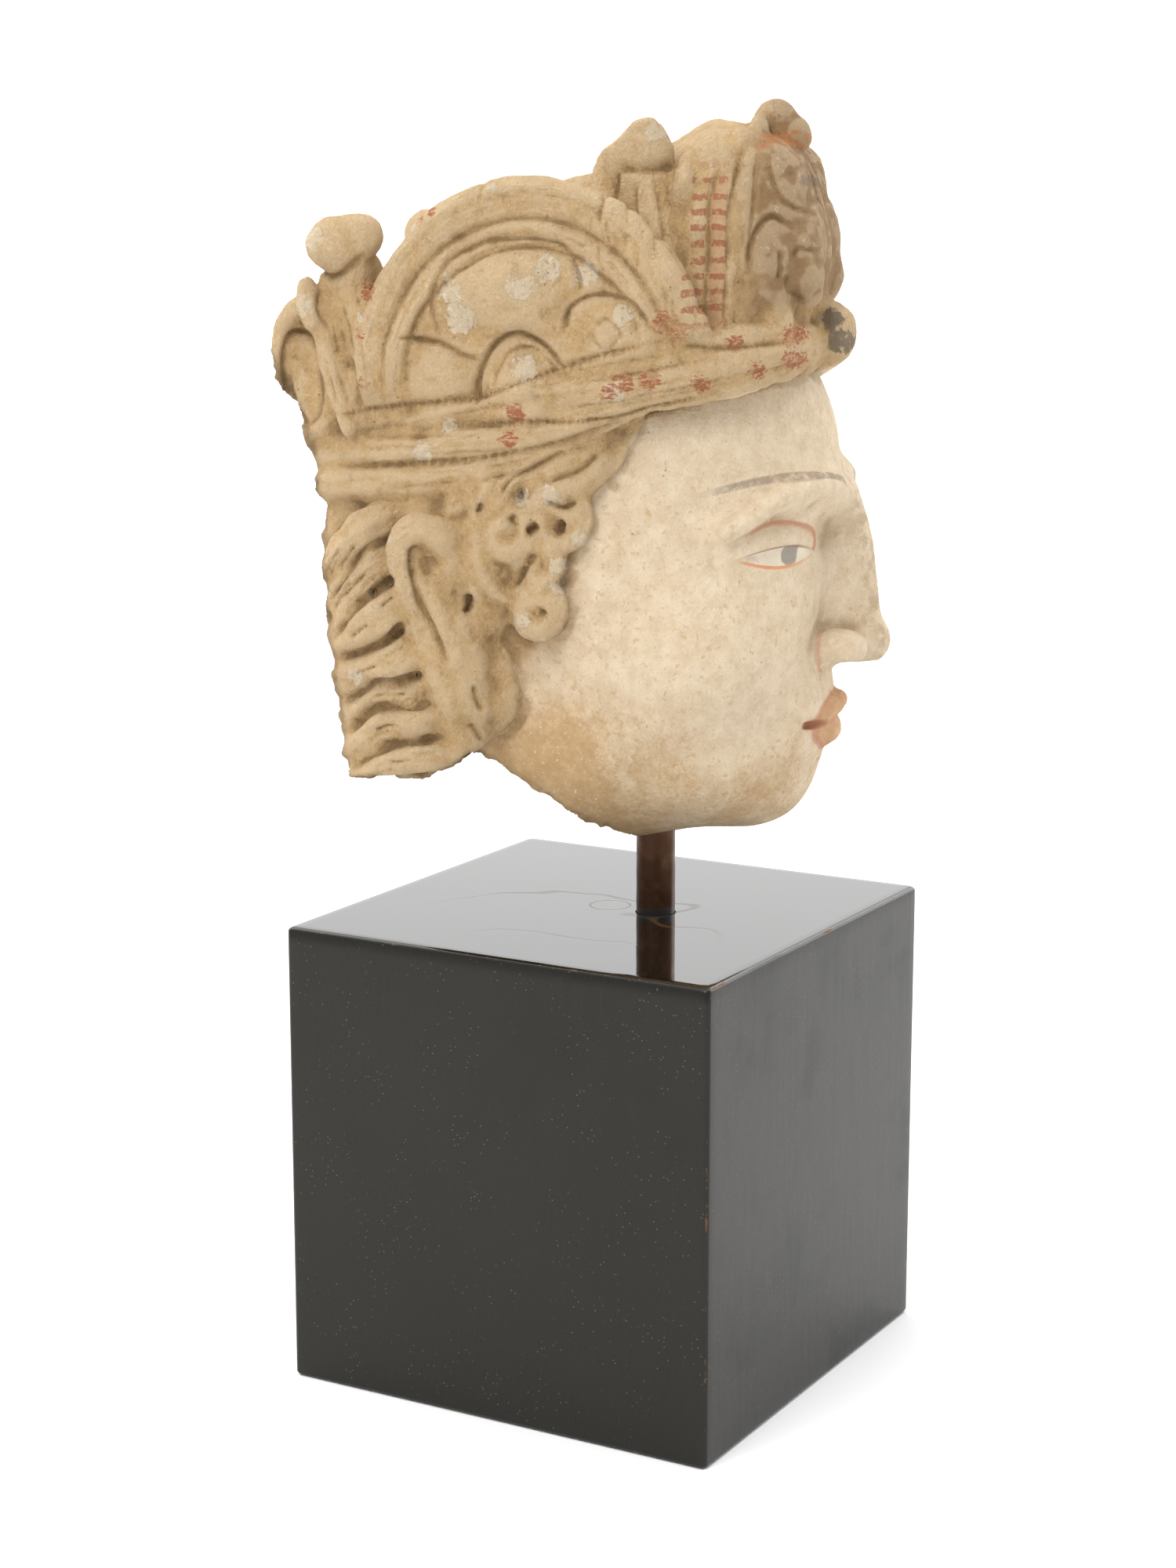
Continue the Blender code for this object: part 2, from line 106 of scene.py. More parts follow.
class Recipe:
    """A material's node tree, with short ways to add and join its nodes."""

    def __init__(self, name, tree=None):
        if tree is None:
            self.material = bpy.data.materials.new(name)
            self.material.use_nodes = True
            tree = self.material.node_tree
            self.shader = tree.nodes["Principled BSDF"]
        self.tree = tree

    def node(self, kind, inputs=None, **settings):
        """A node of that kind, its sockets fed by numbers, colours or other nodes' outputs."""
        made = self.tree.nodes.new("ShaderNode" + kind)
        for key, value in settings.items():
            setattr(made, key, value)
        for key, value in (inputs or {}).items():
            plug_in(self.tree, made.inputs[key], value)
        return made

    def math(self, operation, a, b=0.0):
        """One sum on numbers or outputs."""
        return self.node("Math", {0: a, 1: b}, operation=operation).outputs[0]

    def times(self, *values):
        """The product of several values."""
        return functools.reduce(lambda a, b: self.math("MULTIPLY", a, b), values)

    def plus(self, *values):
        """The sum of several values."""
        return functools.reduce(lambda a, b: self.math("ADD", a, b), values)

    def minus(self, a, b):
        """The first value without the second."""
        return self.math("SUBTRACT", a, b)

    def less(self, value):
        """What the value leaves of 1."""
        return self.minus(1.0, value)

    def gap_of(self, a, b):
        """How far apart two values are."""
        return self.math("ABSOLUTE", self.minus(a, b))

    def ramp(self, value, low, high, to_low=0.0, to_high=1.0):
        """The value eased from one range to another, held at the ends."""
        inputs = {"Value": value, "From Min": low, "From Max": high, "To Min": to_low, "To Max": to_high}
        return self.node("MapRange", inputs, interpolation_type="SMOOTHSTEP").outputs["Result"]

    def mix(self, share, a, b):
        """Two colours mixed by a share."""
        made = self.node("Mix", {0: share}, data_type="RGBA", clamp_factor=True)
        for index, colour in ((6, a), (7, b)):
            plug_in(self.tree, made.inputs[index], (*colour, 1.0) if isinstance(colour, tuple) else colour)
        return made.outputs[2]

    def noise(self, place, scale, detail=3.0, roughness=0.55, offset=0.0):
        """Cloudy noise about 0.5, in parts per metre, shifted so that no two are alike."""
        shift = (offset, offset * 1.7, -offset)
        shifted = self.node("VectorMath", {0: place, 1: shift}, operation="ADD").outputs[0]
        inputs = {"Vector": shifted, "Scale": scale, "Detail": detail, "Roughness": roughness}
        return self.node("TexNoise", inputs).outputs[0]

    def patches(self, place, ground, scale, offset, edge=0.08):
        """Ragged patches where the ground is high: 0 off them and 1 on them."""
        made = self.node("Group", node_tree=patches_group())
        given = {"Place": place, "Ground": ground, "Scale": scale, "Offset": offset, "Edge": edge}
        for key, value in given.items():
            plug_in(self.tree, made.inputs[key], value)
        return made.outputs[0]

    def feed(self, **sockets):
        """Sets the shader's sockets, named with underscores for spaces."""
        for key, value in sockets.items():
            plug_in(self.tree, self.shader.inputs[key.replace("_", " ")], value)


def patches_group():
    """The group shared by all materials here: cloudy noise added to a ground, cut off softly where they come
    to 1."""
    if "Patches" in bpy.data.node_groups:
        return bpy.data.node_groups["Patches"]
    group = bpy.data.node_groups.new("Patches", "ShaderNodeTree")
    group.interface.new_socket("Place", in_out="INPUT", socket_type="NodeSocketVector")
    for name in ("Ground", "Scale", "Offset", "Edge"):
        group.interface.new_socket(name, in_out="INPUT", socket_type="NodeSocketFloat")
    group.interface.new_socket("Mask", in_out="OUTPUT", socket_type="NodeSocketFloat")
    given = group.nodes.new("NodeGroupInput")
    recipe = Recipe("Patches", group)
    shift = {0: given.outputs["Place"], 1: given.outputs["Offset"]}
    moved = recipe.node("VectorMath", shift, operation="ADD")
    inputs = {"Vector": moved.outputs[0], "Scale": given.outputs["Scale"], "Detail": 5.0, "Roughness": 0.62}
    height = recipe.plus(recipe.node("TexNoise", inputs).outputs[0], given.outputs["Ground"])
    low = recipe.less(given.outputs["Edge"])
    high = recipe.plus(1.0, given.outputs["Edge"])
    taken = group.nodes.new("NodeGroupOutput")
    group.links.new(recipe.ramp(height, low, high), taken.inputs["Mask"])
    return group


block_low, block_high = (np.array(corner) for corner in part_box("block"))
block_side = block_high[0] - block_low[0]
block_top = block_high[2]
rod_low, rod_high = (np.array(corner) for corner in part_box("rod"))
rod_radius = (rod_high[0] - rod_low[0]) / 2
rod_line = (rod_low + rod_high) / 2


def block_rings():
    """Rounded square outlines carried upward: each is drawn in from the full side by a quarter circle at the
    foot and the head of the block, and down to a point at the middle of the underside and of the top. The
    outline is a square whose corners are arcs of the edge's radius."""
    edge = 0.0017
    half = block_side / 2 - edge
    arc = np.linspace(0, math.pi / 2, 9)
    run = np.linspace(-1, 1, 41)[1:-1]
    flat = np.stack([np.full_like(run, half + edge), run * half], -1)
    bend = np.stack([half + edge * np.cos(arc), half + edge * np.sin(arc)], -1)
    quarter = np.vstack([flat, bend])
    quarter_turns = np.arange(4) * math.pi / 2
    turns = [np.array([[math.cos(q), -math.sin(q)], [math.sin(q), math.cos(q)]]) for q in quarter_turns]
    outline = np.vstack([quarter @ turn.T for turn in turns])
    rounding = np.linspace(0, math.pi / 2, 8)
    inner = np.linspace(0.03, 1, 24) ** 0.8
    cap_size = inner * half / (half + edge)
    foot_size = (half + edge * np.sin(rounding)) / (half + edge)
    sizes = np.concatenate([cap_size, foot_size[1:], np.ones(38), foot_size[::-1][1:], cap_size[::-1][1:]])
    foot_up = edge * (1 - np.cos(rounding))
    side_up = np.linspace(edge, block_top - edge, 40)[1:-1]
    head_up = block_top - foot_up[::-1][1:]
    heights = np.concatenate([np.zeros(24), foot_up[1:], side_up, head_up, np.full(23, block_top)])
    flat_rings = outline[None] * sizes[:, None, None]
    levels = np.broadcast_to(heights[:, None, None], (*flat_rings.shape[:2], 1))
    return np.concatenate([flat_rings, levels], -1)


rings = block_rings()
block_mesh = rings_mesh("block", [(rings, (0, 0, 0), (0, 0, block_top))])
block_mesh.shade_smooth()

lacquer = Recipe("Black lacquer")
place = lacquer.node("TexCoord").outputs["Object"]
spread = lacquer.node("SeparateXYZ", {0: place})
facing = lacquer.node("SeparateXYZ", {0: lacquer.node("NewGeometry").outputs["Normal"]})
on_top = lacquer.ramp(facing.outputs[2], 0.7, 0.95)
from_side = [
    lacquer.minus(block_side / 2, lacquer.math("ABSOLUTE", spread.outputs[0])),
    lacquer.minus(block_side / 2, lacquer.math("ABSOLUTE", spread.outputs[1])),
    lacquer.minus(block_top / 2, lacquer.gap_of(spread.outputs[2], block_top / 2)),
]
smallest = functools.reduce(lambda a, b: lacquer.math("MINIMUM", a, b), from_side)
largest = functools.reduce(lambda a, b: lacquer.math("MAXIMUM", a, b), from_side)
to_edge = lacquer.minus(lacquer.minus(lacquer.plus(*from_side), smallest), largest)
rub = lacquer.noise(place, 60.0, 4.0, 0.7, 3.0)
wander = lacquer.times(lacquer.minus(rub, 0.43), 0.006)
worn = lacquer.ramp(lacquer.plus(to_edge, wander), 0.0008, 0.0003)
specks = lacquer.node("TexVoronoi", {"Vector": place, "Scale": 560.0}, feature="F1")
speckled = lacquer.patches(place, 0.50, 40.0, 8.0, 0.05)
speck = lacquer.times(lacquer.ramp(specks.outputs["Distance"], 0.15, 0.08), speckled)
clouds = lacquer.noise(place, 14.0, 4.0, 0.6, 1.0)
black = lacquer.mix(clouds, (0.0035, 0.003, 0.0024), (0.008, 0.007, 0.0055))
black = lacquer.mix(lacquer.times(speck, 0.6), black, (0.20, 0.13, 0.08))
black = lacquer.mix(worn, black, (0.115, 0.048, 0.024))
plug_radius = 0.0066
plug = lacquer.node("VectorMath", {0: place, 1: (0.0, 0.0, block_top)}, operation="DISTANCE").outputs["Value"]
plug_line = lacquer.ramp(lacquer.gap_of(plug, plug_radius), 0.0007, 0.0002)
swirl = lacquer.noise(place, 15.0, 2.0, 0.4, 5.0)
near_plug = lacquer.ramp(plug, 0.062, 0.030)
swirl_line = lacquer.ramp(lacquer.gap_of(swirl, 0.53), 0.012, 0.003)
swirl_line = lacquer.times(swirl_line, near_plug)
drag = lacquer.node("Mapping", {"Vector": place, "Scale": (260.0, 260.0, 12.0)}).outputs[0]
grain_lines = lacquer.noise(drag, 2.0, 3.0, 0.6, 2.0)
smudge = lacquer.patches(place, 0.40, 22.0, 11.0, 0.10)
side_rough = lacquer.plus(lacquer.times(grain_lines, 0.16), lacquer.times(smudge, 0.10))
side_rough = lacquer.plus(side_rough, 0.20)
top_rough = lacquer.plus(0.03, lacquer.times(lacquer.plus(smudge, clouds), 0.04))
rough = lacquer.plus(lacquer.times(on_top, top_rough),
                     lacquer.times(lacquer.less(on_top), side_rough))
rough = lacquer.plus(rough, lacquer.times(worn, 0.3))
marks = lacquer.times(on_top, lacquer.math("MAXIMUM", plug_line, lacquer.times(swirl_line, 0.8)))
black = lacquer.mix(lacquer.times(marks, 0.8), black, (0.12, 0.075, 0.035))
height = lacquer.minus(lacquer.times(grain_lines, 0.10), lacquer.plus(marks, worn))
bump = lacquer.node("Bump", {"Height": height, "Strength": 0.35, "Distance": 0.00012}).outputs["Normal"]
gloss = lacquer.times(on_top, lacquer.minus(0.58, lacquer.times(marks, 0.5)))
lacquer.feed(Base_Color=black, Roughness=rough, Normal=bump, Specular_IOR_Level=0.33)
lacquer.feed(Coat_Weight=gloss, Coat_Roughness=0.03, Coat_IOR=1.6)
lacquer.feed(Specular_Tint=(1.0, 0.985, 0.91, 1.0))

block = piece("block_lacquered", block_mesh, lacquer.material, "block")
clearance, hole_depth = 0.0003, 0.03
hole_middle = rod_line[0], rod_line[1], block_top
bpy.ops.mesh.primitive_cylinder_add(vertices=96, radius=rod_radius + clearance, depth=2 * hole_depth,
                                    location=hole_middle)
drill = bpy.context.object
bore = block.modifiers.new("hole", "BOOLEAN")
bore.object = drill
drilled = settled(block)
block.modifiers.clear()
block.data = drilled
block.data.set_sharp_from_angle(angle=math.radians(50))
bpy.data.objects.remove(drill)

# The rod: half-inch steel bar, browned, black where it was masked at the block. It is set into the block's
# hole and into a hole drilled in the underside of the head.


def rod_rings():
    """A circle carried straight up, with its radius eased in at both ends and a faint unevenness along it."""
    up = np.concatenate([[0, 0.0002, 0.0005], np.linspace(0.001, rod_high[2] - rod_low[2] - 0.001, 60)])
    up = np.concatenate([up, rod_high[2] - rod_low[2] - np.array([0.0005, 0.0002, 0.0])])
    angle = np.linspace(0, 2 * math.pi, 96, endpoint=False)
    inset = np.interp(up, [0, 0.001, up[-1] - 0.001, up[-1]], [0.0008, 0, 0, 0.0008])
    reach = (rod_radius - inset)[:, None] - 0.00004 * (1 + np.sin(700 * up[:, None] + 2 * angle))
    across = np.stack([reach * np.cos(angle) + rod_line[0], reach * np.sin(angle) + rod_line[1]], -1)
    return np.concatenate([across, np.broadcast_to((rod_low[2] + up)[:, None, None], (*reach.shape, 1))], -1)


rings = rod_rings()
rod_ends = (rod_line[0], rod_line[1], rod_low[2]), (rod_line[0], rod_line[1], rod_high[2])
rod_mesh = rings_mesh("rod", [(rings, *rod_ends)])
rod_mesh.shade_smooth()

steel = Recipe("Browned steel")
place = steel.node("TexCoord").outputs["Object"]
height = steel.node("SeparateXYZ", {0: place}).outputs[2]
clouds = steel.noise(place, 90.0, 5.0, 0.65, 2.0)
rubbed = steel.patches(place, 0.42, 120.0, 7.0, 0.12)
mask_edge = steel.plus(height, steel.times(clouds, 0.003))
masked = steel.ramp(mask_edge, block_top + 0.0046, block_top + 0.0030)
brown = steel.mix(clouds, (0.030, 0.012, 0.006), (0.095, 0.045, 0.022))
brown = steel.mix(steel.times(rubbed, 0.5), brown, (0.14, 0.075, 0.04))
brown = steel.mix(masked, brown, (0.006, 0.005, 0.005))
turned = steel.node("Mapping", {"Vector": place, "Scale": (1.0, 1.0, 30.0)}).outputs[0]
lines = steel.noise(turned, 60.0, 3.0, 0.6, 4.0)
bump = steel.node("Bump", {"Height": lines, "Strength": 0.3, "Distance": 0.00008}).outputs["Normal"]
metal = steel.ramp(masked, 0.0, 1.0, 0.85, 0.1)
steel.feed(Base_Color=brown, Metallic=metal, Roughness=steel.ramp(clouds, 0.3, 0.7, 0.26, 0.42), Normal=bump)
piece("rod_browned", rod_mesh, steel.material, "rod")

# The head: modelled by hand in lime stucco as one piece, the hair and the turban added as rolls while it was
# soft, then washed with a pale slip and painted. It broke off at the neck and at the back, and a rod is now
# glued into a hole drilled up under the jaw. It is laid out in millimetres from there, its face towards -Y.

head_turn = math.radians(18)
head_gap = 0.0243
head_foot = np.array([rod_line[0], rod_line[1], block_top + head_gap])


def ball(place, centre, radii):
    """Distance from an ellipsoid, near enough."""
    offset = place - np.asarray(centre, float)
    radii = np.asarray(radii, float)
    near = np.linalg.norm(offset / radii, axis=-1)
    steep = np.linalg.norm(offset / radii**2, axis=-1) + 1e-9
    return near * (near - 1.0) / steep


def rib(place, points, radii):
    """Distance from a tapering rod through the points."""
    nearest = np.full(place.shape[:-1], np.inf)
    for start, end, wide, narrow in zip(points, points[1:], radii, radii[1:]):
        start, run = np.asarray(start, float), np.subtract(end, start).astype(float)
        along = np.clip((place - start) @ run / (run @ run), 0.0, 1.0)
        gap = np.linalg.norm(place - start - along[..., None] * run, axis=-1)
        nearest = np.minimum(nearest, gap - wide - (narrow - wide) * along)
    return nearest


def add(form, more, fillet):
    """Two forms as one, with a fillet of that width between them."""
    share = np.clip(0.5 + 0.5 * (more - form) / fillet, 0.0, 1.0)
    return more + (form - more) * share - fillet * share * (1.0 - share)


def carve(form, tool, fillet):
    """The form with the tool's shape taken out of it."""
    return -add(-form, tool, fillet)


def masses(place):
    """The skull, face, jaw, cheeks, chin and the ground of the mouth, with the eye sockets sunk."""
    form = ball(place, (0, 26, 114), (58, 84, 74))
    form = add(form, ball(place, (0, -3, 72), (54, 56, 64)), 18)
    form = add(form, ball(place, (0, 6, 42), (47, 54, 40)), 14)
    form = add(form, ball(place, (0, 66, 84), (51, 62, 70)), 16)
    form = add(form, ball(place, (29, -26, 68), (23, 24, 26)), 16)
    form = add(form, ball(place, (13, -31, 31), (27, 22, 19)), 14)
    form = add(form, ball(place, (0, -46, 22), (19, 15, 14)), 14)
    form = add(form, ball(place, (0, -50, 45), (24, 15, 20)), 12)
    form = carve(form, ball(place, (21, -67.5, 102), (17, 11, 9.5)), 9)
    brow = [(4, -58.5, 113), (15, -57.5, 117.5), (28, -54.5, 118.5), (42, -45, 115), (51, -33, 107)]
    return add(form, rib(place, brow, (2.4, 2.6, 2.6, 2.2, 1.5)), 12)


WING = ((9.9, -65.5, 65.6), (6.2, 9.4, 6.6))
UPPER_LIP = (
    [(0, -65.6, 46.3), (4.2, -66.0, 47.2), (10, -63.6, 45.6), (17.5, -57.8, 42.8)],
    (3.3, 3.5, 3.0, 1.1),
)
LOWER_LIP = (
    [(0, -64.6, 38.4), (6, -64.0, 38.4), (12.5, -60.9, 40.0), (17.5, -57.6, 41.9)],
    (4.5, 4.3, 3.0, 1.0),
)
PARTING = (
    [(0, -70.8, 42.5), (5.5, -70.2, 43.0), (12, -65.9, 42.4), (19.5, -58.6, 42.8)],
    (1.1, 1.1, 1.0, 1.2),
)


def nose(place):
    """The straight nose with its wings, cut level below and pierced by the nostrils."""
    form = ball(place, (0, -57, 83), (9.0, 15, 31))
    form = add(form, rib(place, [(0, -60, 114), (0, -73.6, 70)], (3.8, 4.8)), 6)
    form = add(form, ball(place, (0, -73.0, 66.5), (7.2, 7.8, 7.0)), 4)
    form = add(form, ball(place, *WING), 2.2)
    form = np.maximum(form, 59.3 + 0.18 * place[..., 0] - place[..., 2] - 0.10 * (place[..., 1] + 60))
    return carve(form, ball(place, (6.6, -68.6, 59.6), (3.3, 5.4, 3.4)), 1.2)


EYE_MIDDLE = np.array([28.5, -38.5, 97.8])
EYE_TURN = math.radians(32)
EYE_BALL = ((0, 0, 0.7), (19.0, 10.5, 11.3))
UPPER_LID = ((0, 0, 1.8), (22.5, 12.2, 12.8))
LOWER_LID = ((0, 0, -0.4), (21.5, 11.5, 11.2))


def eye_place(place):
    """Places seen from the middle of the eye: along it outward, back from it and up. The eye turns back with
    the side of the face."""
    offset = place - EYE_MIDDLE
    along = offset[..., 0] * math.cos(EYE_TURN) + offset[..., 1] * math.sin(EYE_TURN)
    behind = offset[..., 1] * math.cos(EYE_TURN) - offset[..., 0] * math.sin(EYE_TURN)
    return np.stack([along, behind, offset[..., 2]], -1)


def lid_edges(along):
    """How high the edges of the upper and the lower lid stand, at a distance along the eye."""
    middle = 0.03 * along
    return middle + 3.1 * (1 - ((along + 1) / 17.5) ** 2), middle - 3.0 * (1 - ((along - 1) / 17.5) ** 2)


def eyes(form, place):
    """Long half-closed eyes: the ball, a heavy upper lid and a thin lower one round an almond opening."""
    local = eye_place(place)
    upper_edge, lower_edge = lid_edges(local[..., 0])
    form = add(form, ball(local, *EYE_BALL), 2.0)
    form = add(form, np.maximum(ball(local, *UPPER_LID), upper_edge - local[..., 2]), 1.8)
    return add(form, np.maximum(ball(local, *LOWER_LID), local[..., 2] - lower_edge), 2.4)


def mouth(form, place):
    """Full bow-shaped lips with the line between them, and the groove above."""
    form = add(form, rib(place, *UPPER_LIP), 2.6)
    form = add(form, rib(place, *LOWER_LIP), 2.6)
    form = carve(form, rib(place, *PARTING), 1.4)
    return carve(form, rib(place, [(0, -69.0, 58), (0, -71.2, 51)], (1.6, 2.0)), 3.0)


def upright_half(place):
    """Places with both sides of the head laid on one, and its forward lean taken out."""
    half = place.copy()
    half[..., 0] = np.abs(half[..., 0])
    half[..., 1] -= 0.115 * (120 - half[..., 2])
    return half


def head_form(place):
    """Distance from the bare head."""
    half = upright_half(place)
    return mouth(eyes(add(masses(half), nose(half), 4.5), half), half)


HEAD_MIDDLE = np.array([0, 8, 76])


def skull(rows=260, columns=300):
    """The bare head as rings: every point is drawn in along its own ray, by rows of one height angle and
    columns round the upright, until its distance from the form is nothing."""
    height = np.linspace(-math.pi / 2, math.pi / 2, rows + 2)[:, None]
    round_about = np.linspace(0, 2 * math.pi, columns, endpoint=False)[None]
    rays = np.stack(np.broadcast_arrays(
        np.cos(height) * np.cos(round_about), np.cos(height) * np.sin(round_about), np.sin(height)), -1)
    reach = np.full(rays.shape[:2], 135.0)
    for _ in range(50):
        reach -= 0.75 * head_form(HEAD_MIDDLE + reach[..., None] * rays)
    spots = HEAD_MIDDLE + reach[..., None] * rays
    return spots[1:-1], spots[0, 0], spots[-1, 0]


def eased(points, count):
    """A smooth route of that many places through a few points, as a Catmull-Rom curve."""
    points = np.asarray(points, float)
    ends = np.vstack([2 * points[0] - points[1], points, 2 * points[-1] - points[-2]])
    at = np.linspace(0, len(points) - 1, count)
    step = np.minimum(at.astype(int), len(points) - 2)
    t = (at - step)[:, None]
    a, b, c, d = (ends[step + k] for k in range(4))
    return 0.5 * (2 * b + (c - a) * t + (2 * a - 5 * b + 4 * c - d) * t**2 + (3 * b - a - 3 * c + d) * t**3)


def line(across, *spots):
    """A route through (back, up) spots, at one distance out or easing from one to others."""
    out = np.interp(np.linspace(0, 1, len(spots)), np.linspace(0, 1, np.size(across)), np.atleast_1d(across))
    return np.column_stack([out, np.array(spots, float)])


def rolled(route, radii, flat=1.0, folds=0, depth=0.0, twist=0.0):
    """A roll carried along a route. Each ring's reach is the radius, less depth times one minus the size of
    the cosine of half the folds times the angle, and the angle turns on by twist. The ends close as half
    balls."""
    middle = eased(route, 16 * len(route))
    run = np.gradient(middle, axis=0)
    run /= np.linalg.norm(run, axis=1, keepdims=True)
    aside = np.array([1.0, 0.0, 0.0]) - run * run[:, :1]
    aside /= np.linalg.norm(aside, axis=1, keepdims=True)
    upward = np.cross(run, aside)
    share = np.linspace(0, 1, len(middle))
    radius = np.interp(share, np.linspace(0, 1, len(radii)), radii)
    angle = np.linspace(0, 2 * math.pi, 36, endpoint=False)
    reach = radius[:, None] * (1 - depth + depth * np.abs(np.cos(folds * angle / 2 + twist * share[:, None])))
    spoke = flat * np.cos(angle)[:, None] * aside[:, None] + np.sin(angle)[:, None] * upward[:, None]
    rings = middle[:, None] + reach[..., None] * spoke
    closing = np.linspace(0.25, math.pi / 2, 5)[:-1, None, None]
    ends = []
    for end, way in ((0, -1), (-1, 1)):
        tip = way * radius[end] * run[end]
        cap = middle[end] + tip * np.cos(closing) + np.sin(closing) * (rings[end] - middle[end])
        ends.append((cap, middle[end] + tip))
    return np.concatenate([ends[0][0], rings, ends[1][0][::-1]]), ends[0][1], ends[1][1]


def bulge(centre, radii, lean=0.0):
    """A ball stretched to three radii and leant about the across axis: rings of one height from foot to
    head."""
    height = np.linspace(-math.pi / 2, math.pi / 2, 26)[:, None]
    angle = np.linspace(0, 2 * math.pi, 40, endpoint=False)[None]
    unit = np.stack(np.broadcast_arrays(
        np.cos(height) * np.cos(angle), np.cos(height) * np.sin(angle), np.sin(height)), -1) * radii
    spots = unit @ np.array(Matrix.Rotation(-math.radians(lean), 3, "X")) + np.array(centre, float)
    return spots[1:-1], spots[0, 0], spots[-1, 0]


WIDEST_BACK = 24


def band_strand(spots, radii, proud=0.0, **fold):
    """One strand of the turban's band: it follows the head's oval from the forehead round to the back."""
    spots = np.array(spots, float)
    deep = np.where(spots[:, 0] < WIDEST_BACK, 77.0, 128.0)
    out = (60.0 + proud) * np.sqrt(np.clip(1 - ((spots[:, 0] - WIDEST_BACK) / deep) ** 2, 0.0, 1))
    return rolled(np.column_stack([out, spots]), radii, **fold)


def band():
    """The band of twisted cloth, three strands at the back that run together towards the forehead."""
    top = ((-53, 160), (-40, 158.5), (-22, 154.5), (2, 150), (25, 146), (50, 140.5), (92, 135))
    middle = ((-30, 152), (-6, 145.5), (8, 140.5), (25, 135.5), (50, 133), (92, 128))
    low = ((8, 136), (26, 130.5), (40, 126.5), (58, 122), (80, 120.5), (92, 119))
    edge_strand = ((-52, 163), (-40, 165), (-24, 162), (-8, 158), (10, 152))
    return [
        band_strand(top, (5.2, 6.6, 8.4, 9.0, 7.2, 5.4, 4.6), -1.4, folds=9, depth=0.10, twist=4.0),
        band_strand(middle, (1.5, 3.4, 4.4, 4.8, 5.6, 6.0), 1.8, folds=8, depth=0.10, twist=2.4),
        band_strand(low, (1.5, 3.6, 5.4, 6.4, 7.2, 7.0), 0.6, folds=7, depth=0.10, twist=1.6),
        band_strand(((-53, 156.5), (-38, 152), (-20, 148), (-4, 144)), (3.0, 3.8, 4.0, 1.5), 2.0),
        band_strand(edge_strand, (2.2, 2.8, 3.2, 2.6, 1.2), 4.0),
        band_strand(((-52, 160), (-38, 159), (-22, 156.5), (-6, 154)), (1.6, 2.2, 2.2, 1.0), 6.0),
        band_strand(((-22, 158), (0, 153), (24, 150), (46, 144), (66, 140)), (1.2, 2.2, 2.6, 2.4, 1.2), 4.2),
        band_strand(((84, 142), (60, 146), (40, 150), (14, 158), (-6, 163)), (4.0, 5.0, 5.0, 4.5, 3.0), -4.5),
    ]


ARCH_MIDDLE = (28, 150)


def ring_route(across, middle, wide, tall, start, end, lean=0.0, dive=0.0):
    """A route along an oval in the side plane, between two angles, leaning in towards its top and diving
    inward over the last of both ends."""
    angle = np.radians(np.linspace(start, end, 17))
    up = middle[1] + tall * np.sin(angle)
    sunk = dive * np.clip(1 - np.minimum(angle - angle[0], angle[-1] - angle) / 0.42, 0, 1) ** 1.5
    return np.stack([across - lean * (up - middle[1]) - sunk, middle[0] + wide * np.cos(angle), up], -1)


def side_arch():
    """The ribbed arch over the ear, and the flower with its petals that fills it."""
    ribs = (61.8, 49.6, 56.6, 5.2), (61.2, 47.4, 53.6, 5.2), (60.4, 44.4, 49.6, 5.0), (62.0, 41.2, 45.8, 5.0)
    made = [bulge((53, 28, 170), (11.5, 49, 38.5))]
    for across, wide, tall, thick in ribs:
        route = ring_route(across, ARCH_MIDDLE, wide, tall, -14, 170, 0.09, 12)
        made.append(rolled(route, (thick, thick), folds=9, depth=0.05, twist=3.0))
    return made + [
        bulge((57.5, 34.5, 177.5), (11.5, 22.0, 15.0)),
        bulge((57, 3, 165), (9.0, 14.5, 12.5), lean=-25),
        bulge((56, 55, 152), (9.5, 14.0, 13.0)),
        bulge((57.0, 29, 148), (10.5, 14.0, 17)),
        bulge((60.0, 28, 148), (9.0, 11.0, 13.0)),
    ]


def rear_loop():
    """The loop of cloth behind the arch with its folds, the loose tab on it, and the knob above."""
    return [
        bulge((48, 86, 172), (11, 11, 20)),
        bulge((45.5, 94, 152), (12, 15, 25)),
        rolled(ring_route(55.5, (98.5, 152.5), 8.8, 20.5, 0, 360), (3.3, 3.3)),
        bulge((52.5, 98, 150), (5.0, 5.2, 13.0)),
        rolled(line((54, 58, 57), (95, 174), (89, 156), (81, 138)), (4.6, 4.8, 3.4), folds=5, depth=0.12),
        rolled(line((56, 60), (92, 160), (88, 148), (84, 136)), (2.6, 3.4, 2.6), folds=3, depth=0.1),
        rolled(line((53, 57, 56), (84, 182), (80, 164), (78, 146)), (5.6, 5.4, 3.8), folds=5, depth=0.10),
        rolled(line((57.5, 59.5), (97.5, 178), (96.5, 173), (95, 168)), (3.0, 3.6, 2.8)),
        bulge((56, 88.0, 190.5), (9.5, 8.6, 8.8)),
        bulge((54.5, 82.0, 193.2), (8.5, 7.0, 7.4)),
        bulge((52, 85, 182), (8, 8, 8)),
    ]


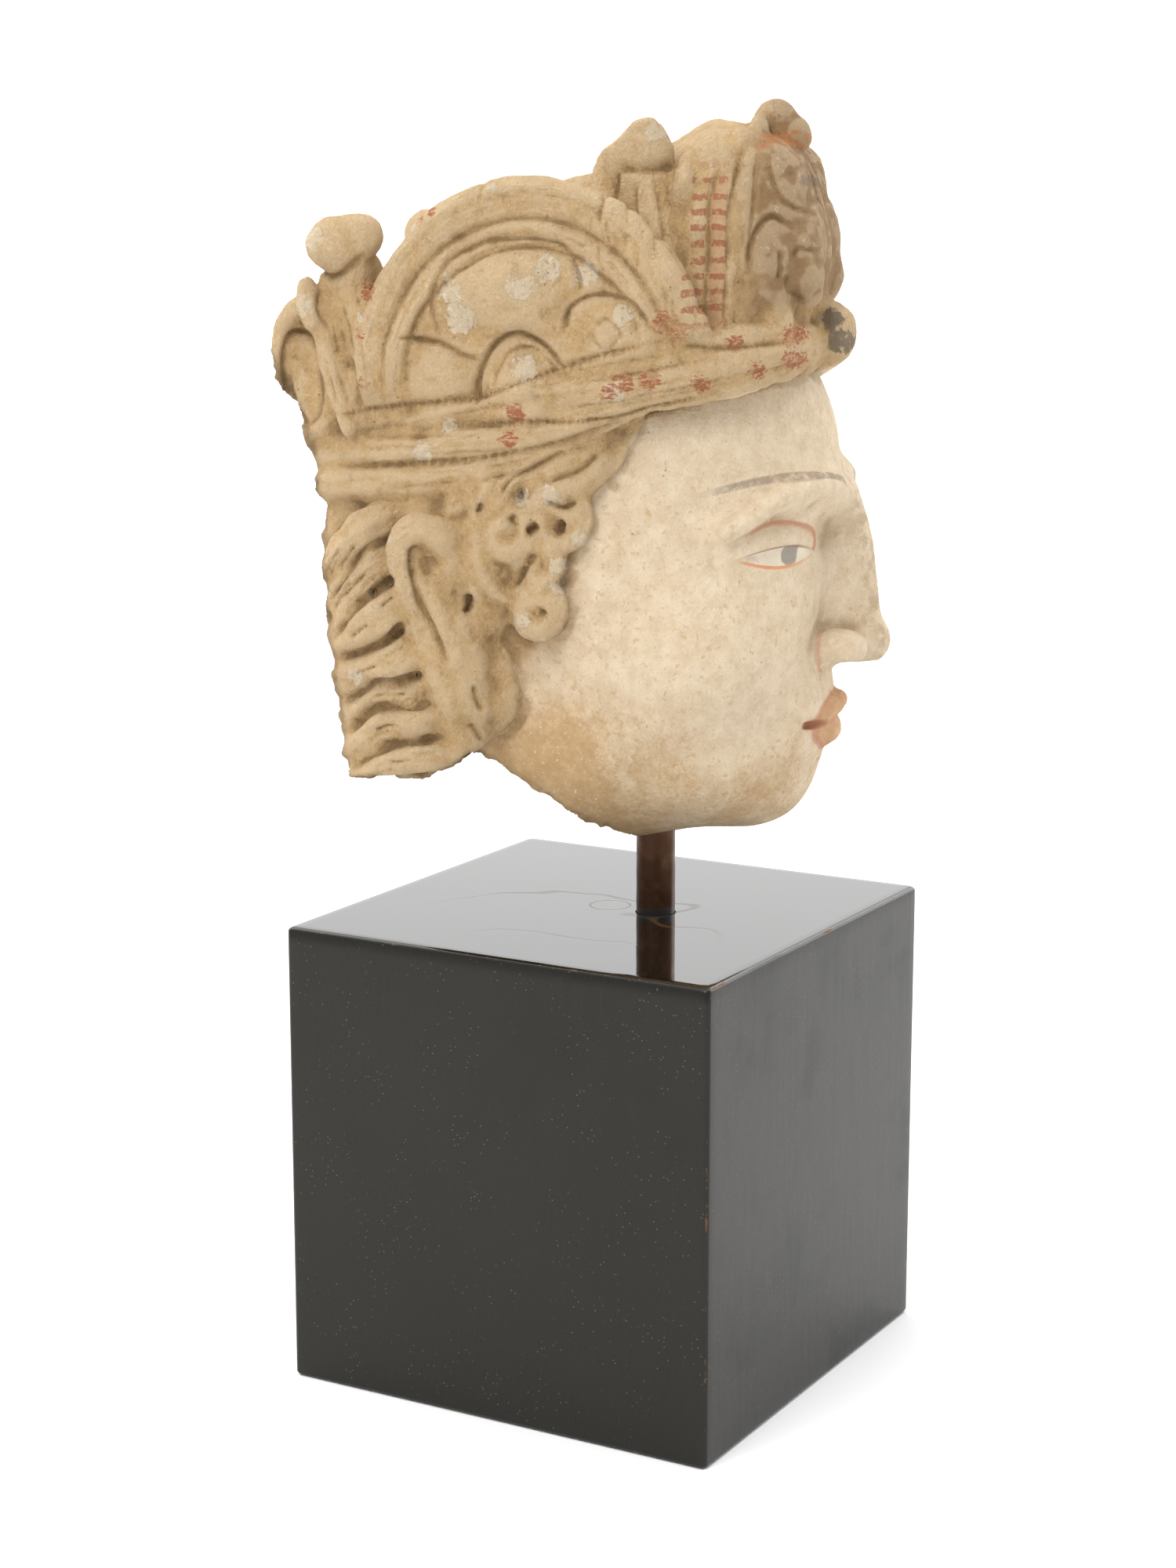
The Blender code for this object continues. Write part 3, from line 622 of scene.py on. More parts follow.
def hair_knot(top):
    """The bound knot of hair between arch and plume, broken off and hollow at the top."""
    return [
        rolled(line((34, 31), (-8, 166), (-2, 190), (3, top - 14)), (9.5, 10.5, 10.0), folds=5, depth=0.10),
        rolled(line((33, 31), (-1, top - 22), (1, top - 12), (2, top - 1)), (11.0, 12.0, 12.4, 11.5)),
        rolled(line((43, 43, 40), (-15, 166), (-9, 188), (-5, 205)), (5.4, 7.0, 5.6), folds=3, depth=0.10),
        rolled(line((41, 40, 36), (4, 196), (9, 204), (12, 213)), (3.6, 4.0, 2.6)),
        bulge((41, -15.5, 208.5), (4.6, 3.6, 7.0), lean=8),
        bulge((35, -16, 192), (9.0, 8.0, 26)),
    ]


def plume():
    """Half of the fan-shaped plume over the forehead: two pleats, a leaf's edge, the broad leaf that curls
    over a stem, and the bud beside it."""
    made = [bulge((14, -37, 197), (22, 16, 26)), bulge((27, -34, 184), (13, 13, 26))]
    for back, thick, tall in ((-20.4, 4.2, 218), (-27.0, 3.8, 222)):
        spots = (back + 1.5, 162), (back, 186), (back - 0.5, 204), (back - 3.5, tall)
        made.append(rolled(line((43, 42.5, 40, 26), *spots), (thick, thick, thick, thick)))
    leaf_edge = line((38, 37, 33, 12), (-31.5, 166), (-32.5, 192), (-33, 214), (-33.5, 227))
    return made + [
        rolled(leaf_edge, (3.2, 3.6, 3.4, 3.0)),
        bulge((34, -23, 190), (9.5, 11, 34)),
        bulge((32, -31, 188), (8.5, 8, 28)),
        bulge((21, -40, 209), (13.0, 10.5, 13.5), lean=-30),
        bulge((24, -38, 203), (11.0, 8.5, 8.0)),
        rolled(line((30, 30, 28), (-39, 162), (-39.5, 178), (-41, 191)), (7.0, 6.6, 5.0)),
        bulge((20, -50, 181), (9.5, 5.6, 8.6)),
        bulge((16, -46, 190), (15, 8.5, 18)),
    ]


def crown_top():
    """What lies across the crown: the plume's ground, the jewel of the band, the hair combed back."""
    jewel = line(0, (-50, 173), (-56.5, 168), (-57.5, 160), (-52, 154))
    made = [
        bulge((0, -23, 186), (39, 31, 42)),
        bulge((-3, -37, 227.5), (7.5, 6.6, 7.3)),
        bulge((-3, -42, 224), (7, 5.5, 6)),
        bulge((0, -50.5, 164), (11.5, 8.5, 8.5)),
        rolled(jewel, (3.6, 4.6, 4.4, 3.0), flat=2.2),
        bulge((0, 75, 150), (56, 21, 36)),
    ]
    for number in range(-4, 5):
        out = 10.5 * number
        top = 191 - 0.0052 * out**2
        lock = line((out, out, 0.95 * out, 0.9 * out), (2, top - 6), (32, top), (66, top - 8), (94, top - 30))
        made.append(rolled(lock, (6.0, 6.8, 6.4), folds=7, depth=0.12, twist=2.0))
    return made


def curl(centre, size, start, thick, turns=400):
    """A lock wound round a drilled hole, along a closing spiral, with its ground filled behind it."""
    share = np.linspace(0, 1, 12)
    angle = np.radians(start + turns * share)
    reach = size * (1 - 0.55 * share)
    out = centre[0] - 1.5 + 2.0 * share
    spiral = np.stack([out, centre[1] + reach * np.cos(angle), centre[2] + reach * np.sin(angle)], -1)
    ground = bulge((centre[0] - 6, centre[1], centre[2]), (6.5, size + 1, size + 1))
    return [rolled(spiral, (thick, thick, 0.7 * thick), folds=5, depth=0.18, twist=2.0), ground]


LOCK_LINES = (
    ((70, 117), (79, 111), (86, 104), (91, 97)),
    ((72, 104), (79, 99), (85, 92), (90, 84)),
    ((69, 92), (75, 88), (82, 82), (89, 73)),
    ((66, 79), (70, 74), (77, 70), (88, 66)),
    ((61, 63), (68, 60), (76, 59), (87, 52)),
    ((58.5, 53), (66, 52.5), (77, 51), (87, 42)),
    ((56, 42.5), (62, 42), (72, 40), (85, 32)),
    ((54, 31), (64, 30), (74, 28), (84, 22)),
)


def side_hair():
    """Waves that leave the temple, the drilled curls in front of the ear, and the long locks behind it."""
    made = [bulge((50, 27, 108), (10.0, 19, 27)), bulge((50, 29, 86), (9.5, 10, 14))]
    made.append(bulge((50, 43, 96), (10, 12, 27)))
    waves = (
        ((50, -4, 140), (53.5, 3, 130), (56, 9, 124), (57.5, 12, 119)),
        ((53, 3, 138), (57, 11, 129), (59, 20, 125), (60, 26, 119)),
        ((56, 12, 134), (59, 23, 128), (60.5, 32, 124), (61, 37, 116)),
        ((57, 24, 131), (60, 34, 126), (61, 42, 119), (60, 45, 108)),
        ((58, 36, 127), (60, 45, 122), (61, 51, 114)),
        ((58.5, 6, 129), (60, 13, 122), (61.5, 20, 119.5), (61.5, 27, 114)),
    )
    for number, wave in enumerate(waves):
        made.append(rolled(wave, (2.0, 3.6, 4.4, 3.2), folds=5, depth=0.16, twist=1.5 + number))
    made += curl((60.0, 20, 110), 8.0, 150, 4.0, 380)
    made += curl((61.0, 35, 106), 7.5, 60, 3.8, 420)
    made += curl((60.0, 25, 96.5), 6.8, 10, 3.6, 330)
    made += curl((59.0, 25.5, 82.5), 7.4, 60, 4.4, 480)
    strand = ((59, 43, 114), (60.5, 44, 104), (60, 42, 93), (58, 37, 86))
    made.append(rolled(strand, (3.0, 4.2, 4.0, 2.6), folds=4, depth=0.16))
    made += [bulge((45, 79, 92), (12.5, 22, 34)), bulge((45, 76, 52), (13.5, 22, 34))]
    for spot, start in (((57.5, 73, 88), 80), ((57.5, 70, 70), 20), ((57, 69, 52), 120)):
        made += curl(spot, 4.6, start, 2.8, 330)
    for number, (upper, lower) in enumerate(zip(LOCK_LINES, LOCK_LINES[1:])):
        spots = (np.array(upper) + lower) / 2
        thick = 0.52 * np.linalg.norm(spots[1] - lower[1]) * 2 + 0.8
        lock = line((57, 59.5 + (0.8, -0.8, 0.4)[number % 3], 58.5, 53), *spots)
        radii = 0.72 * thick, 1.05 * thick, thick, 0.8 * thick
        made.append(rolled(lock, radii, folds=6, depth=0.16, twist=1.5 + number))
    return made


def ear():
    """The long ear: its broad rim round a shallow hollow, the fold inside it, and the stretched lobe."""
    rim = line((56, 59, 61, 63, 64.5, 65, 65, 64, 62, 60), (53, 40), (55, 54), (59, 69), (63, 83), (66, 96),
               (64.5, 104), (60, 107), (55, 105), (52.5, 99), (52.5, 91))
    return [
        rolled(rim, (4.6, 5.0, 4.8, 4.4, 4.6, 5.2, 5.4, 5.2, 4.4, 3.4), flat=0.85),
        rolled(line((62, 61.5, 60), (57.5, 88), (55.5, 79), (51, 67)), (3.2, 5.0, 5.0)),
        rolled(line((56.5, 57.5, 56, 54), (59, 104), (59, 92), (55, 76), (52, 56)), (6.4, 7.5, 7.5, 7.0)),
        rolled(line((56, 55, 53, 51), (52, 78), (50, 64), (50, 52), (50, 44)), (8, 8.5, 8.5, 7.5)),
        bulge((56.5, 46, 95), (7, 7, 15)),
        bulge((55.5, 47, 107), (8, 8, 10)),
        bulge((46, 42, 62), (8, 9, 22)),
        bulge((51.5, 63, 42), (8, 10, 22)),
        bulge((50, 68, 84), (9, 9, 26)),
        bulge((54.5, 60, 113.5), (8, 14, 6.5)),
    ]


def worn_noise(place, size, seed):
    """Smooth random heights from -1 to 1: values on a grid of that spacing, eased between its corners."""
    table = np.random.default_rng(seed).uniform(-1, 1, (32, 32, 32))
    cell = place / size
    low = np.floor(cell).astype(int)
    share = cell - low
    share = share * share * (3 - 2 * share)
    total = np.zeros(len(place))
    for corner in np.ndindex(2, 2, 2):
        x, y, z = ((low[:, k] + corner[k]) % 32 for k in range(3))
        weight = np.prod(np.where(corner, share, 1 - share), axis=1)
        total += weight * table[x, y, z]
    return total


def back_break(up, foot):
    """How far back the head goes on up to its break, which leans and steps back at the top."""
    return foot + 0.085 * (up - 28) + 0.40 * np.clip(up - 133, 0, 32)


def neck_break(back):
    """The height of the break under the jaw and the neck."""
    return np.interp(back, (2, 17, 31, 41, 50, 60, 92), (7, 13, 24, 29, 34, 29, 27))


def broken(back, up, foot):
    """1 on the broken faces, 0 off them."""
    under = np.clip((neck_break(back) + 3 - up) / 2, 0, 1) * np.clip((back - 6) / 6, 0, 1)
    return np.maximum(np.clip((back - back_break(up, foot)) / 2, 0, 1), under)


def rough_break(out, along):
    """The slow waves of a broken face, in millimetres."""
    slow = np.sin(0.31 * out + 0.9 * np.sin(0.17 * along))
    return 0.9 * slow + 0.7 * np.sin(0.43 * along + 0.12 * out + 1.0)


def break_off(place):
    """Draws what lies past the two breaks back onto them: the back, and the neck behind the jaw."""
    out, back, up = place.T
    limit = back_break(up, 88.5) + rough_break(out, up)
    uneven = rough_break(out, back)
    floor = neck_break(back) + uneven
    reach = np.clip((back - 2) / 12, 0, 1)
    cut = np.maximum(up, floor * reach + np.minimum(up, floor) * (1 - reach))
    stump = np.interp(back, (-13, -9, -5, 1, 8, 15), (214, 221, 227.5, 226.5, 220, 214))
    stump = stump - 5 * (out > 0) + 0.8 * uneven
    on_stump = (np.abs(out) > 18) & (back > -12) & (back < 16)
    cut = np.where(on_stump, np.minimum(cut, stump), cut)
    return np.stack([out, np.minimum(back, limit), cut], -1)


def mirrored(skin):
    """The skin on the other side of the head."""
    rings, start, end = skin
    flip = np.array([-1.0, 1.0, 1.0])
    return rings[:, ::-1] * flip, start * flip, end * flip


def fused(skins, voxel):
    """The closed skins, broken off and run together into one hull of that grain, gently smoothed."""
    mesh = rings_mesh("head", skins)
    spots = np.empty(len(mesh.vertices) * 3)
    mesh.vertices.foreach_get("co", spots)
    mesh.vertices.foreach_set("co", break_off(spots.reshape(-1, 3)).ravel())
    whole = placed("head", mesh)
    fuse = whole.modifiers.new("fuse", "REMESH")
    fuse.mode = "VOXEL"
    fuse.voxel_size = voxel
    soften = whole.modifiers.new("soften", "SMOOTH")
    soften.factor = 0.5
    soften.iterations = 2
    made = settled(whole)
    bpy.data.objects.remove(whole)
    return made


def spots_of(mesh):
    """The mesh's points and their normals."""
    spots, normals = (np.empty(len(mesh.vertices) * 3) for _ in range(2))
    mesh.vertices.foreach_get("co", spots)
    mesh.vertex_normals.foreach_get("vector", normals)
    return spots.reshape(-1, 3), normals.reshape(-1, 3)


def move_spots(mesh, spots):
    """Puts the mesh's points in new places."""
    mesh.vertices.foreach_set("co", spots.ravel())
    mesh.update()


def point_pairs(mesh):
    """The two points of every edge."""
    pairs = np.empty(len(mesh.edges) * 2, int)
    mesh.edges.foreach_get("vertices", pairs)
    return pairs.reshape(-1, 2)


def evened(values, links, rounds):
    """Values spread to neighbouring points again and again, along the given pairs."""
    count = len(values)
    both, other = np.concatenate([links[:, 0], links[:, 1]]), np.concatenate([links[:, 1], links[:, 0]])
    degree = np.maximum(np.bincount(both, minlength=count), 1)[:, None]
    for _ in range(rounds):
        total = np.stack([np.bincount(both, column[other], count) for column in values.T], -1)
        values = 0.5 * values + 0.5 * total / degree
    return values


def drawn_in(spots):
    """Draws the points near the bare head back onto its form, which the hull has blunted."""
    gap = head_form(spots)
    nudge = 0.05 * np.eye(3)
    slope = np.stack([(head_form(spots + step) - gap) / 0.05 for step in nudge], -1)
    slope /= np.maximum((slope**2).sum(1, keepdims=True), 0.2)
    for _ in range(3):
        near = np.clip((1.3 - np.abs(gap)) / 0.6, 0, 1)
        spots = spots - (near * gap)[:, None] * slope
        gap = head_form(spots)
    return spots


CUTS = (
    (56, 0.9, 2.2, ((43, 143), (42.5, 153), (38, 162), (30, 165.5), (22, 162), (15.5, 154))),
    (56, 0.7, 0.9, ((38.5, 146), (36.5, 155), (32, 161), (25, 161.5), (20, 157), (16.5, 152))),
    (56, 0.9, 1.6, ((67, 164), (61, 163.5), (54, 162.5), (47, 159), (42, 158.5))),
    (56, 0.9, 1.8, ((17, 166), (14, 174), (6, 177.5), (-3, 175), (-10, 167))),
    (58, 1.3, 0.8, ((13, 187), (11.5, 181), (14, 174))),
    (58, 0.6, 0.6, ((8.5, 166), (4, 170.5), (-0.5, 166), (4, 161.5), (8.5, 166))),
    (46, 0.9, 1.7, ((94, 156), (96.5, 163), (101, 165), (104, 160), (104.5, 152), (102, 143), (97.5, 137))),
    (46, 0.8, 1.0, ((94, 156), (92.8, 148), (94, 141), (97.5, 137))),
    (46, 1.2, 1.8, ((83, 158), (81.5, 150), (80, 142))),
    (44, 0.9, 1.6, ((96, 184), (90, 181.5), (84, 183.5), (78, 188.5))),
    (44, 0.7, 1.0, ((93, 178.5), (92.5, 171), (89, 165))),
    (56, 0.6, 0.5, ((44, 190), (41.5, 212))),
    (56, 0.6, 0.4, ((38.5, 192), (37, 212))),
    (50, 1.0, 1.5, ((55, 165), (57, 174), (52.5, 185.5), (43, 191.5), (32, 193.5), (18, 191.5), (12.5, 184),
                    (12, 176))),
    (48, 0.9, 1.6, ((7, 131), (12, 126), (22, 122))),
    (48, 0.9, 1.8, ((17, 131), (26, 126), (33, 122), (36, 118))),
    (48, 0.9, 1.8, ((26, 100), (31, 93), (33, 90))),
    (48, 0.8, 1.6, ((13, 116), (17, 114.5), (22, 116))),
    (48, 1.2, 3.4, ((18, 110), (19, 107))),
    (48, 1.4, 3.4, ((25, 109), (28, 106.5))),
    (48, 1.2, 2.2, ((42, 115), (43, 112))),
    (48, 1.2, 3.0, ((33, 112), (32, 108))),
    (48, 1.1, 2.4, ((25.5, 82.5), (23, 82))),
    (50, 1.0, 2.2, ((60, 102), (62.6, 100), (62.6, 94), (60.6, 85), (57, 77), (53, 67))),
    (50, 2.4, 1.0, ((59, 99), (58.5, 93))),
    (44, 1.3, 4.0, ((47.4, 87), (46.8, 82))),
    (44, 1.4, 0.8, ((48.6, 92), (47.4, 84), (45.5, 77), (42.5, 71))),
    (44, 0.8, 1.4, ((45.2, 59), (44.6, 55), (43.6, 51))),
    (40, 0.9, 1.2, ((47.6, 47), (46, 44), (44, 40))),
    (38, 1.4, 1.4, ((32.5, 54), (32.5, 49), (35.5, 44.5), (42, 40))),
    (14, 1.0, 1.7, ((-34.5, 183), (-35, 191), (-37.5, 197), (-41, 199.5), (-46, 196.5))),
    (12, 0.8, 1.1, ((-43.4, 189.5), (-43.8, 185), (-43.4, 181))),
    (6, 0.8, 0.8, ((-46.5, 187), (-48.5, 190), (-53, 189))),
    (6, 0.7, 0.8, ((-45.5, 183), (-46, 178), (-49, 174))),
    (4, 3.4, 1.2, ((-45, 215), (-49, 209), (-53, 203))),
    (8, 0.8, 0.8, ((-38.5, 217), (-40.5, 210), (-44.5, 203.5), (-52, 200))),
    (24, 0.8, 1.3, ((-25.5, 214), (-23.4, 204), (-23.2, 186), (-21.8, 166))),
    (24, 0.8, 1.5, ((-31, 220), (-29.8, 204), (-29.4, 186), (-28.4, 166))),
    (24, 0.7, 1.0, ((-36, 216), (-35.5, 204), (-34.8, 192))),
    (26, 1.4, 1.7, ((5, 213.5), (-2, 213), (-9, 213.5), (-13, 216))),
    (26, 0.8, 1.4, ((4.5, 213), (5.2, 206), (6.5, 198))),
    (26, 0.8, 1.0, ((-6, 212), (-8.5, 204), (-10, 196), (-10.5, 187))),
)


CUTS += tuple((46, 1.2, 2.6, spots) for spots in LOCK_LINES[1:])


def arc_cut(inner, width, depth, wide, tall, start, end):
    """A groove that follows the arch, between two angles."""
    route = ring_route(0, ARCH_MIDDLE, wide, tall, start, end)
    return inner, width, depth, route[:, 1:]


CUTS += (
    arc_cut(50, 0.7, 0.5, 49.4, 56.4, 30, 160), arc_cut(50, 1.1, 1.3, 44.6, 49.4, -4, 166),
    arc_cut(50, 0.6, 0.3, 41.6, 45.4, 20, 150), arc_cut(50, 1.0, 1.4, 37.0, 41.2, -2, 160),
)
chance = np.random.default_rng(12)


def creases(inner, route, reach, count, width=0.55, depth=0.6):
    """Fine folds that run with a roll: each takes a stretch of its route and lies off its middle by a share
    of its reach."""
    middle = eased(route, 40)
    run = np.gradient(middle, axis=0)
    across = np.column_stack([-run[:, 1], run[:, 0]]) / np.linalg.norm(run, axis=1, keepdims=True)
    made = []
    for number in range(count):
        start = chance.uniform(0, 0.6)
        stretch = slice(int(40 * start), int(40 * min(1.0, start + chance.uniform(0.25, 0.5))), 5)
        lie = reach * (2 * (number + 0.5) / count - 1 + chance.uniform(-0.1, 0.1))
        slant = np.linspace(0, chance.uniform(-0.25, 0.25) * reach, 40)[:, None]
        fold = (middle + (lie + slant) * across)[stretch]
        made.append((inner, width, depth * chance.uniform(0.6, 1.3), fold))
    return tuple(cut for cut in made if len(cut[3]) > 2)


CUTS += (
    (30, 1.0, 1.8, ((53, 138), (30, 139.5), (5, 141), (-4, 142.5), (-27, 148))),
    (40, 1.0, 1.6, ((88, 125), (70, 126), (48, 128), (26, 131.5), (9, 136.5), (-4, 141))),
    (40, 1.0, 1.4, ((93, 140), (66, 143.5), (40, 148), (14, 157), (-12, 164))),
    (8, 0.8, 1.1, ((-18, 162), (-31, 161.5), (-46, 162.5))),
)
CUTS += creases(8, ((-52, 160), (-30, 157), (0, 151), (30, 145.5), (60, 139.5), (92, 134.5)), 6.0, 12)
CUTS += creases(30, ((5, 140), (25, 135.5), (50, 133), (92, 131)), 3.6, 7)
CUTS += creases(30, ((20, 132), (48, 125), (92, 121)), 5.0, 9)
CUTS += creases(24, ((-12, 168), (-10, 185), (-6, 205)), 5.0, 6)
CUTS += creases(16, ((-1, 170), (2, 195), (3, 214)), 7.0, 7)
CUTS += creases(50, ((92, 176), (86, 158), (82, 140)), 6.0, 7)
CUTS += creases(44, ((84, 182), (78, 160), (76, 142)), 5.0, 5)
for upper, lower in zip(LOCK_LINES, LOCK_LINES[1:]):
    CUTS += creases(44, (np.array(upper) + lower) / 2, 3.0, 3, 0.55, 0.9)


def scored(spots, normals):
    """Presses grooves and drilled holes in from both sides. Each cut has how far out it starts, a width and a
    depth, and a route in the side plane; its depth fades with the square of the distance from the route."""
    drop = np.zeros(len(spots))
    for inner, width, depth, given in CUTS:
        route = eased(np.column_stack([np.zeros(len(given)), given]), 14 * len(given))[:, 1:]
        low, high = route.min(0) - 3 * width, route.max(0) + 3 * width
        side = spots[:, 1:]
        near = np.flatnonzero((np.abs(spots[:, 0]) > inner) & (side > low).all(1) & (side < high).all(1))
        gap = np.linalg.norm(side[near, None] - route[None], axis=-1)
        share = gap.argmin(1) / len(route)
        fade = np.clip(6 * np.minimum(share, 1 - share) + 0.15, 0, 1)
        drop[near] = np.maximum(drop[near], fade * depth * np.exp(-((gap.min(1) / width) ** 2)))
    return spots - drop[:, None] * normals


def handled(skin):
    """The skin pushed about a little, as fingers leave it."""
    rings, start, end = skin
    place = np.vstack([rings.reshape(-1, 3), start, end])
    push = np.stack([worn_noise(place, 15.0, seed) for seed in (21, 22, 23)], -1)
    place = place + push * (0.5, 1.1, 1.1) + 0.35 * np.stack([worn_noise(place, 6.0, 24)] * 3, -1)
    return place[:-2].reshape(rings.shape), place[-2], place[-1]


skins = [skull()] + [handled(skin) for skin in crown_top()]
for side, knot_top in ((-1, 227), (1, 221)):
    near = band() + side_arch() + rear_loop() + hair_knot(knot_top) + plume() + side_hair() + ear()
    skins += [handled(skin if side > 0 else mirrored(skin)) for skin in near]
head_mesh = fused(skins, 0.95)
spots, normals = spots_of(head_mesh)
bare = np.clip(1.6 - np.abs(head_form(spots)), 0, 1)
links = point_pairs(head_mesh)
crown = np.clip((spots[:, 2] - 132 + 0.27 * spots[:, 1]) / 6, 0, 1)
for turn in range(20):
    fill = ((evened(spots, links, 1) - spots) * normals).sum(1) * (1 - bare)
    if turn > 11:
        fill = fill * crown
    spots += (np.maximum(fill, 0) * 1.5)[:, None] * normals
    move_spots(head_mesh, spots)
    spots, normals = spots_of(head_mesh)
move_spots(head_mesh, drawn_in(spots))
spots, normals = spots_of(head_mesh)
spots = scored(spots, normals)
bare = np.clip(1.4 - np.abs(head_form(spots)), 0, 1)
out, back, up = spots.T
snapped = broken(back, up, 86)
wear = 1 - 0.80 * bare
rubbing = 0.50 * worn_noise(spots, 9.0, 1) + 0.28 * worn_noise(spots, 4.1, 2)
heave = wear * (rubbing + 0.16 * worn_noise(spots, 1.9, 3))
socket = np.hypot(np.abs(out) - 30, back - 5) / 5.5
heave -= 5.0 * np.exp(-(socket**4)) * np.clip((up - 212) / 3, 0, 1) * np.clip(3 * normals[:, 2] - 1, 0, 1)
jagged = 1.4 * worn_noise(spots, 9.0, 4) + 1.0 * worn_noise(spots, 3.4, 5) + 0.6 * worn_noise(spots, 1.7, 6)
heave -= snapped * np.abs(jagged)
spots += heave[:, None] * normals
move_spots(head_mesh, spots)
FACES_KEPT = 95000
whole = placed("head", head_mesh)
thin = whole.modifiers.new("fewer faces", "DECIMATE")
thin.ratio = min(1.0, FACES_KEPT / len(head_mesh.polygons))
thin.use_collapse_triangulate = True
head_mesh = settled(whole)
bpy.data.objects.remove(whole)
spots, normals = spots_of(head_mesh)
edges = point_pairs(head_mesh)


def near_spots(places, across):
    """How near each point lies to the middle of the given (side, back, up, reach) places: 1 in them, 0
    away."""
    share = np.zeros(len(spots))
    for side, place_back, place_up, reach in places:
        gap = np.hypot(spots[:, 1] - place_back, spots[:, 2] - place_up) / reach
        inside = (side * spots[:, 0] > across) | (side == 0)
        share = np.maximum(share, inside * np.clip(1.5 - gap, 0, 1))
    return share


half = upright_half(spots)
out, back, up = np.abs(spots[:, 0]), spots[:, 1], spots[:, 2]
fields = {"form_gap": head_form(spots)}
fields["hollow_fine"] = ((evened(spots, edges, 6) - spots) * normals).sum(1)
fields["hollow_broad"] = ((evened(spots, edges, 50) - spots) * normals).sum(1)
band_foot = 138.5 - 0.27 * back
HAIR_UP, HAIR_BACK = (20, 40, 60, 80, 95, 110, 118, 126, 134, 142), (55, 44, 40, 20, 17, 10, 12, 5, 1, -6)
hairline = np.interp(up, HAIR_UP, HAIR_BACK)
fields["face"] = np.clip((hairline - back) / 2.5 + 0.5, 0, 1)
fields["face"] *= np.clip((band_foot - up) / 2.0 + 0.5, 0, 1)
fields["face"] *= np.where(back > -25, np.clip((1.7 - fields["form_gap"]) / 0.7, 0, 1), 1)
fields["snapped"] = broken(back, up, 85.5)
fields["brow_line"] = up - (122.0 - 0.0125 * (out - 29) ** 2)
fields["brow_end"] = np.minimum(out - 6, 51 - out)
eye = eye_place(half)
fields["crease_line"] = ball(eye, *UPPER_LID)
upper_edge, lower_edge = lid_edges(eye[:, 0])
fields["lash_line"] = eye[:, 2] - upper_edge
fields["rim_line"] = eye[:, 2] - lower_edge
fields["iris"] = np.hypot(eye[:, 0] + 3, eye[:, 2] - 0.6)
fields["eye_front"] = np.clip(2.6 - ball(eye, *EYE_BALL), 0, 1) * np.clip(3 - eye[:, 1], 0, 1)
fields["wing_line"] = ball(half, *WING)
fields["upper_lip"] = rib(half, *UPPER_LIP)
fields["lower_lip"] = rib(half, *LOWER_LIP)
fields["parting"] = rib(half, *PARTING)
WHITE = (
    (-1, 27.7, 155.8, 5.6), (-1, 21, 185, 5.5), (-1, 29, 179, 5.5), (-1, 48, 170, 7.5), (-1, 51, 178, 5.0),
    (-1, 10, 183, 5.0), (-1, -1, 171, 4.5), (-1, 1, 149, 4.4), (-1, 60, 130, 4.2), (-1, 52, 138.5, 3.4),
    (-1, 94, 193, 5.5), (-1, 97, 173, 4.4), (-1, 82, 61, 4.0), (-1, 70, 104, 3.0), (-1, 21, 118, 4.4),
    (-1, 30, 117, 3.6), (-1, 12, 105, 3.8), (-1, 19, 97, 3.8), (-1, 19, 90, 3.4), (-1, 30, 80, 3.6),
    (-1, -6, 224, 4.0), (-1, 39, 208, 2.2), (-1, 63, 197, 2.2), (-1, 79, 170, 2.4), (-1, 92, 193, 3.0),
    (1, 25, 160, 5.5), (1, 45, 182, 4.0), (1, 12, 112, 3.0), (1, 70, 190, 4.0), (1, 4, 150, 3.0),
    (1, 60, 120, 2.5),
)
RED = (
    (-1, -13, 169, 5.5), (-1, -17, 166, 4.5), (-1, -1, 151.5, 5.0), (-1, -9, 152.5, 4.4), (-1, 3, 149, 3.4),
    (-1, 30.5, 142.5, 4.5), (-1, 33, 134.5, 4.0), (-1, -23, 151, 4.0), (-1, -32, 163, 4.0), (-1, -47, 164, 4.8),
    (-1, -47, 157, 4.6), (-1, -38, 154.5, 3.8), (-1, 57, 201, 2.4), (-1, 77, 177, 4.5), (-1, 79, 165, 3.0),
    (-1, 78, 150, 3.0), (-1, 60, 198, 2.4), (1, -16, 168, 4.0), (1, 28, 143, 3.0), (1, -40, 158, 3.5),
    (1, 60, 196, 4.0),
)
SOOT = ((0, -56, 168, 4.5), (0, -59, 161, 5.0), (-1, -49.5, 210, 2.8), (1, -47, 207, 2.0))
fields["white_ground"] = near_spots(WHITE, 12)
fields["red_ground"] = near_spots(RED, 8)
fields["soot_ground"] = near_spots(SOOT, -9)
head_mesh.polygons.foreach_set("use_smooth", np.ones(len(head_mesh.polygons), bool))
for name, values in fields.items():
    head_mesh.attributes.new(name, "FLOAT", "POINT").data.foreach_set("value", values.astype(np.float32))
place_kept = head_mesh.attributes.new("head_place", "FLOAT_VECTOR", "POINT")
place_kept.data.foreach_set("vector", spots.astype(np.float32).ravel())
turn = np.array(Matrix.Rotation(head_turn, 3, "Z"))
low, high = (np.array(corner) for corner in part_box("head"))
move_spots(head_mesh, np.clip(head_foot + spots / 1000 @ turn.T, low, high))

stucco = Recipe("Painted stucco")
mix, ramp, noise, patches = stucco.mix, stucco.ramp, stucco.noise, stucco.patches
times, plus, minus, less = stucco.times, stucco.plus, stucco.minus, stucco.less


def field(name):
    """A number kept on the head's points."""
    return stucco.node("Attribute", attribute_name=name).outputs["Fac"]


def from_middle(back_way, up_way):
    """The length of a step that goes so far back and so far up."""
    return stucco.math("SQRT", plus(stucco.math("POWER", back_way, 2.0), stucco.math("POWER", up_way, 2.0)))


def coated(under, over, *masks):
    """One colour laid over another where all the masks are high."""
    return mix(times(*masks), under, over)


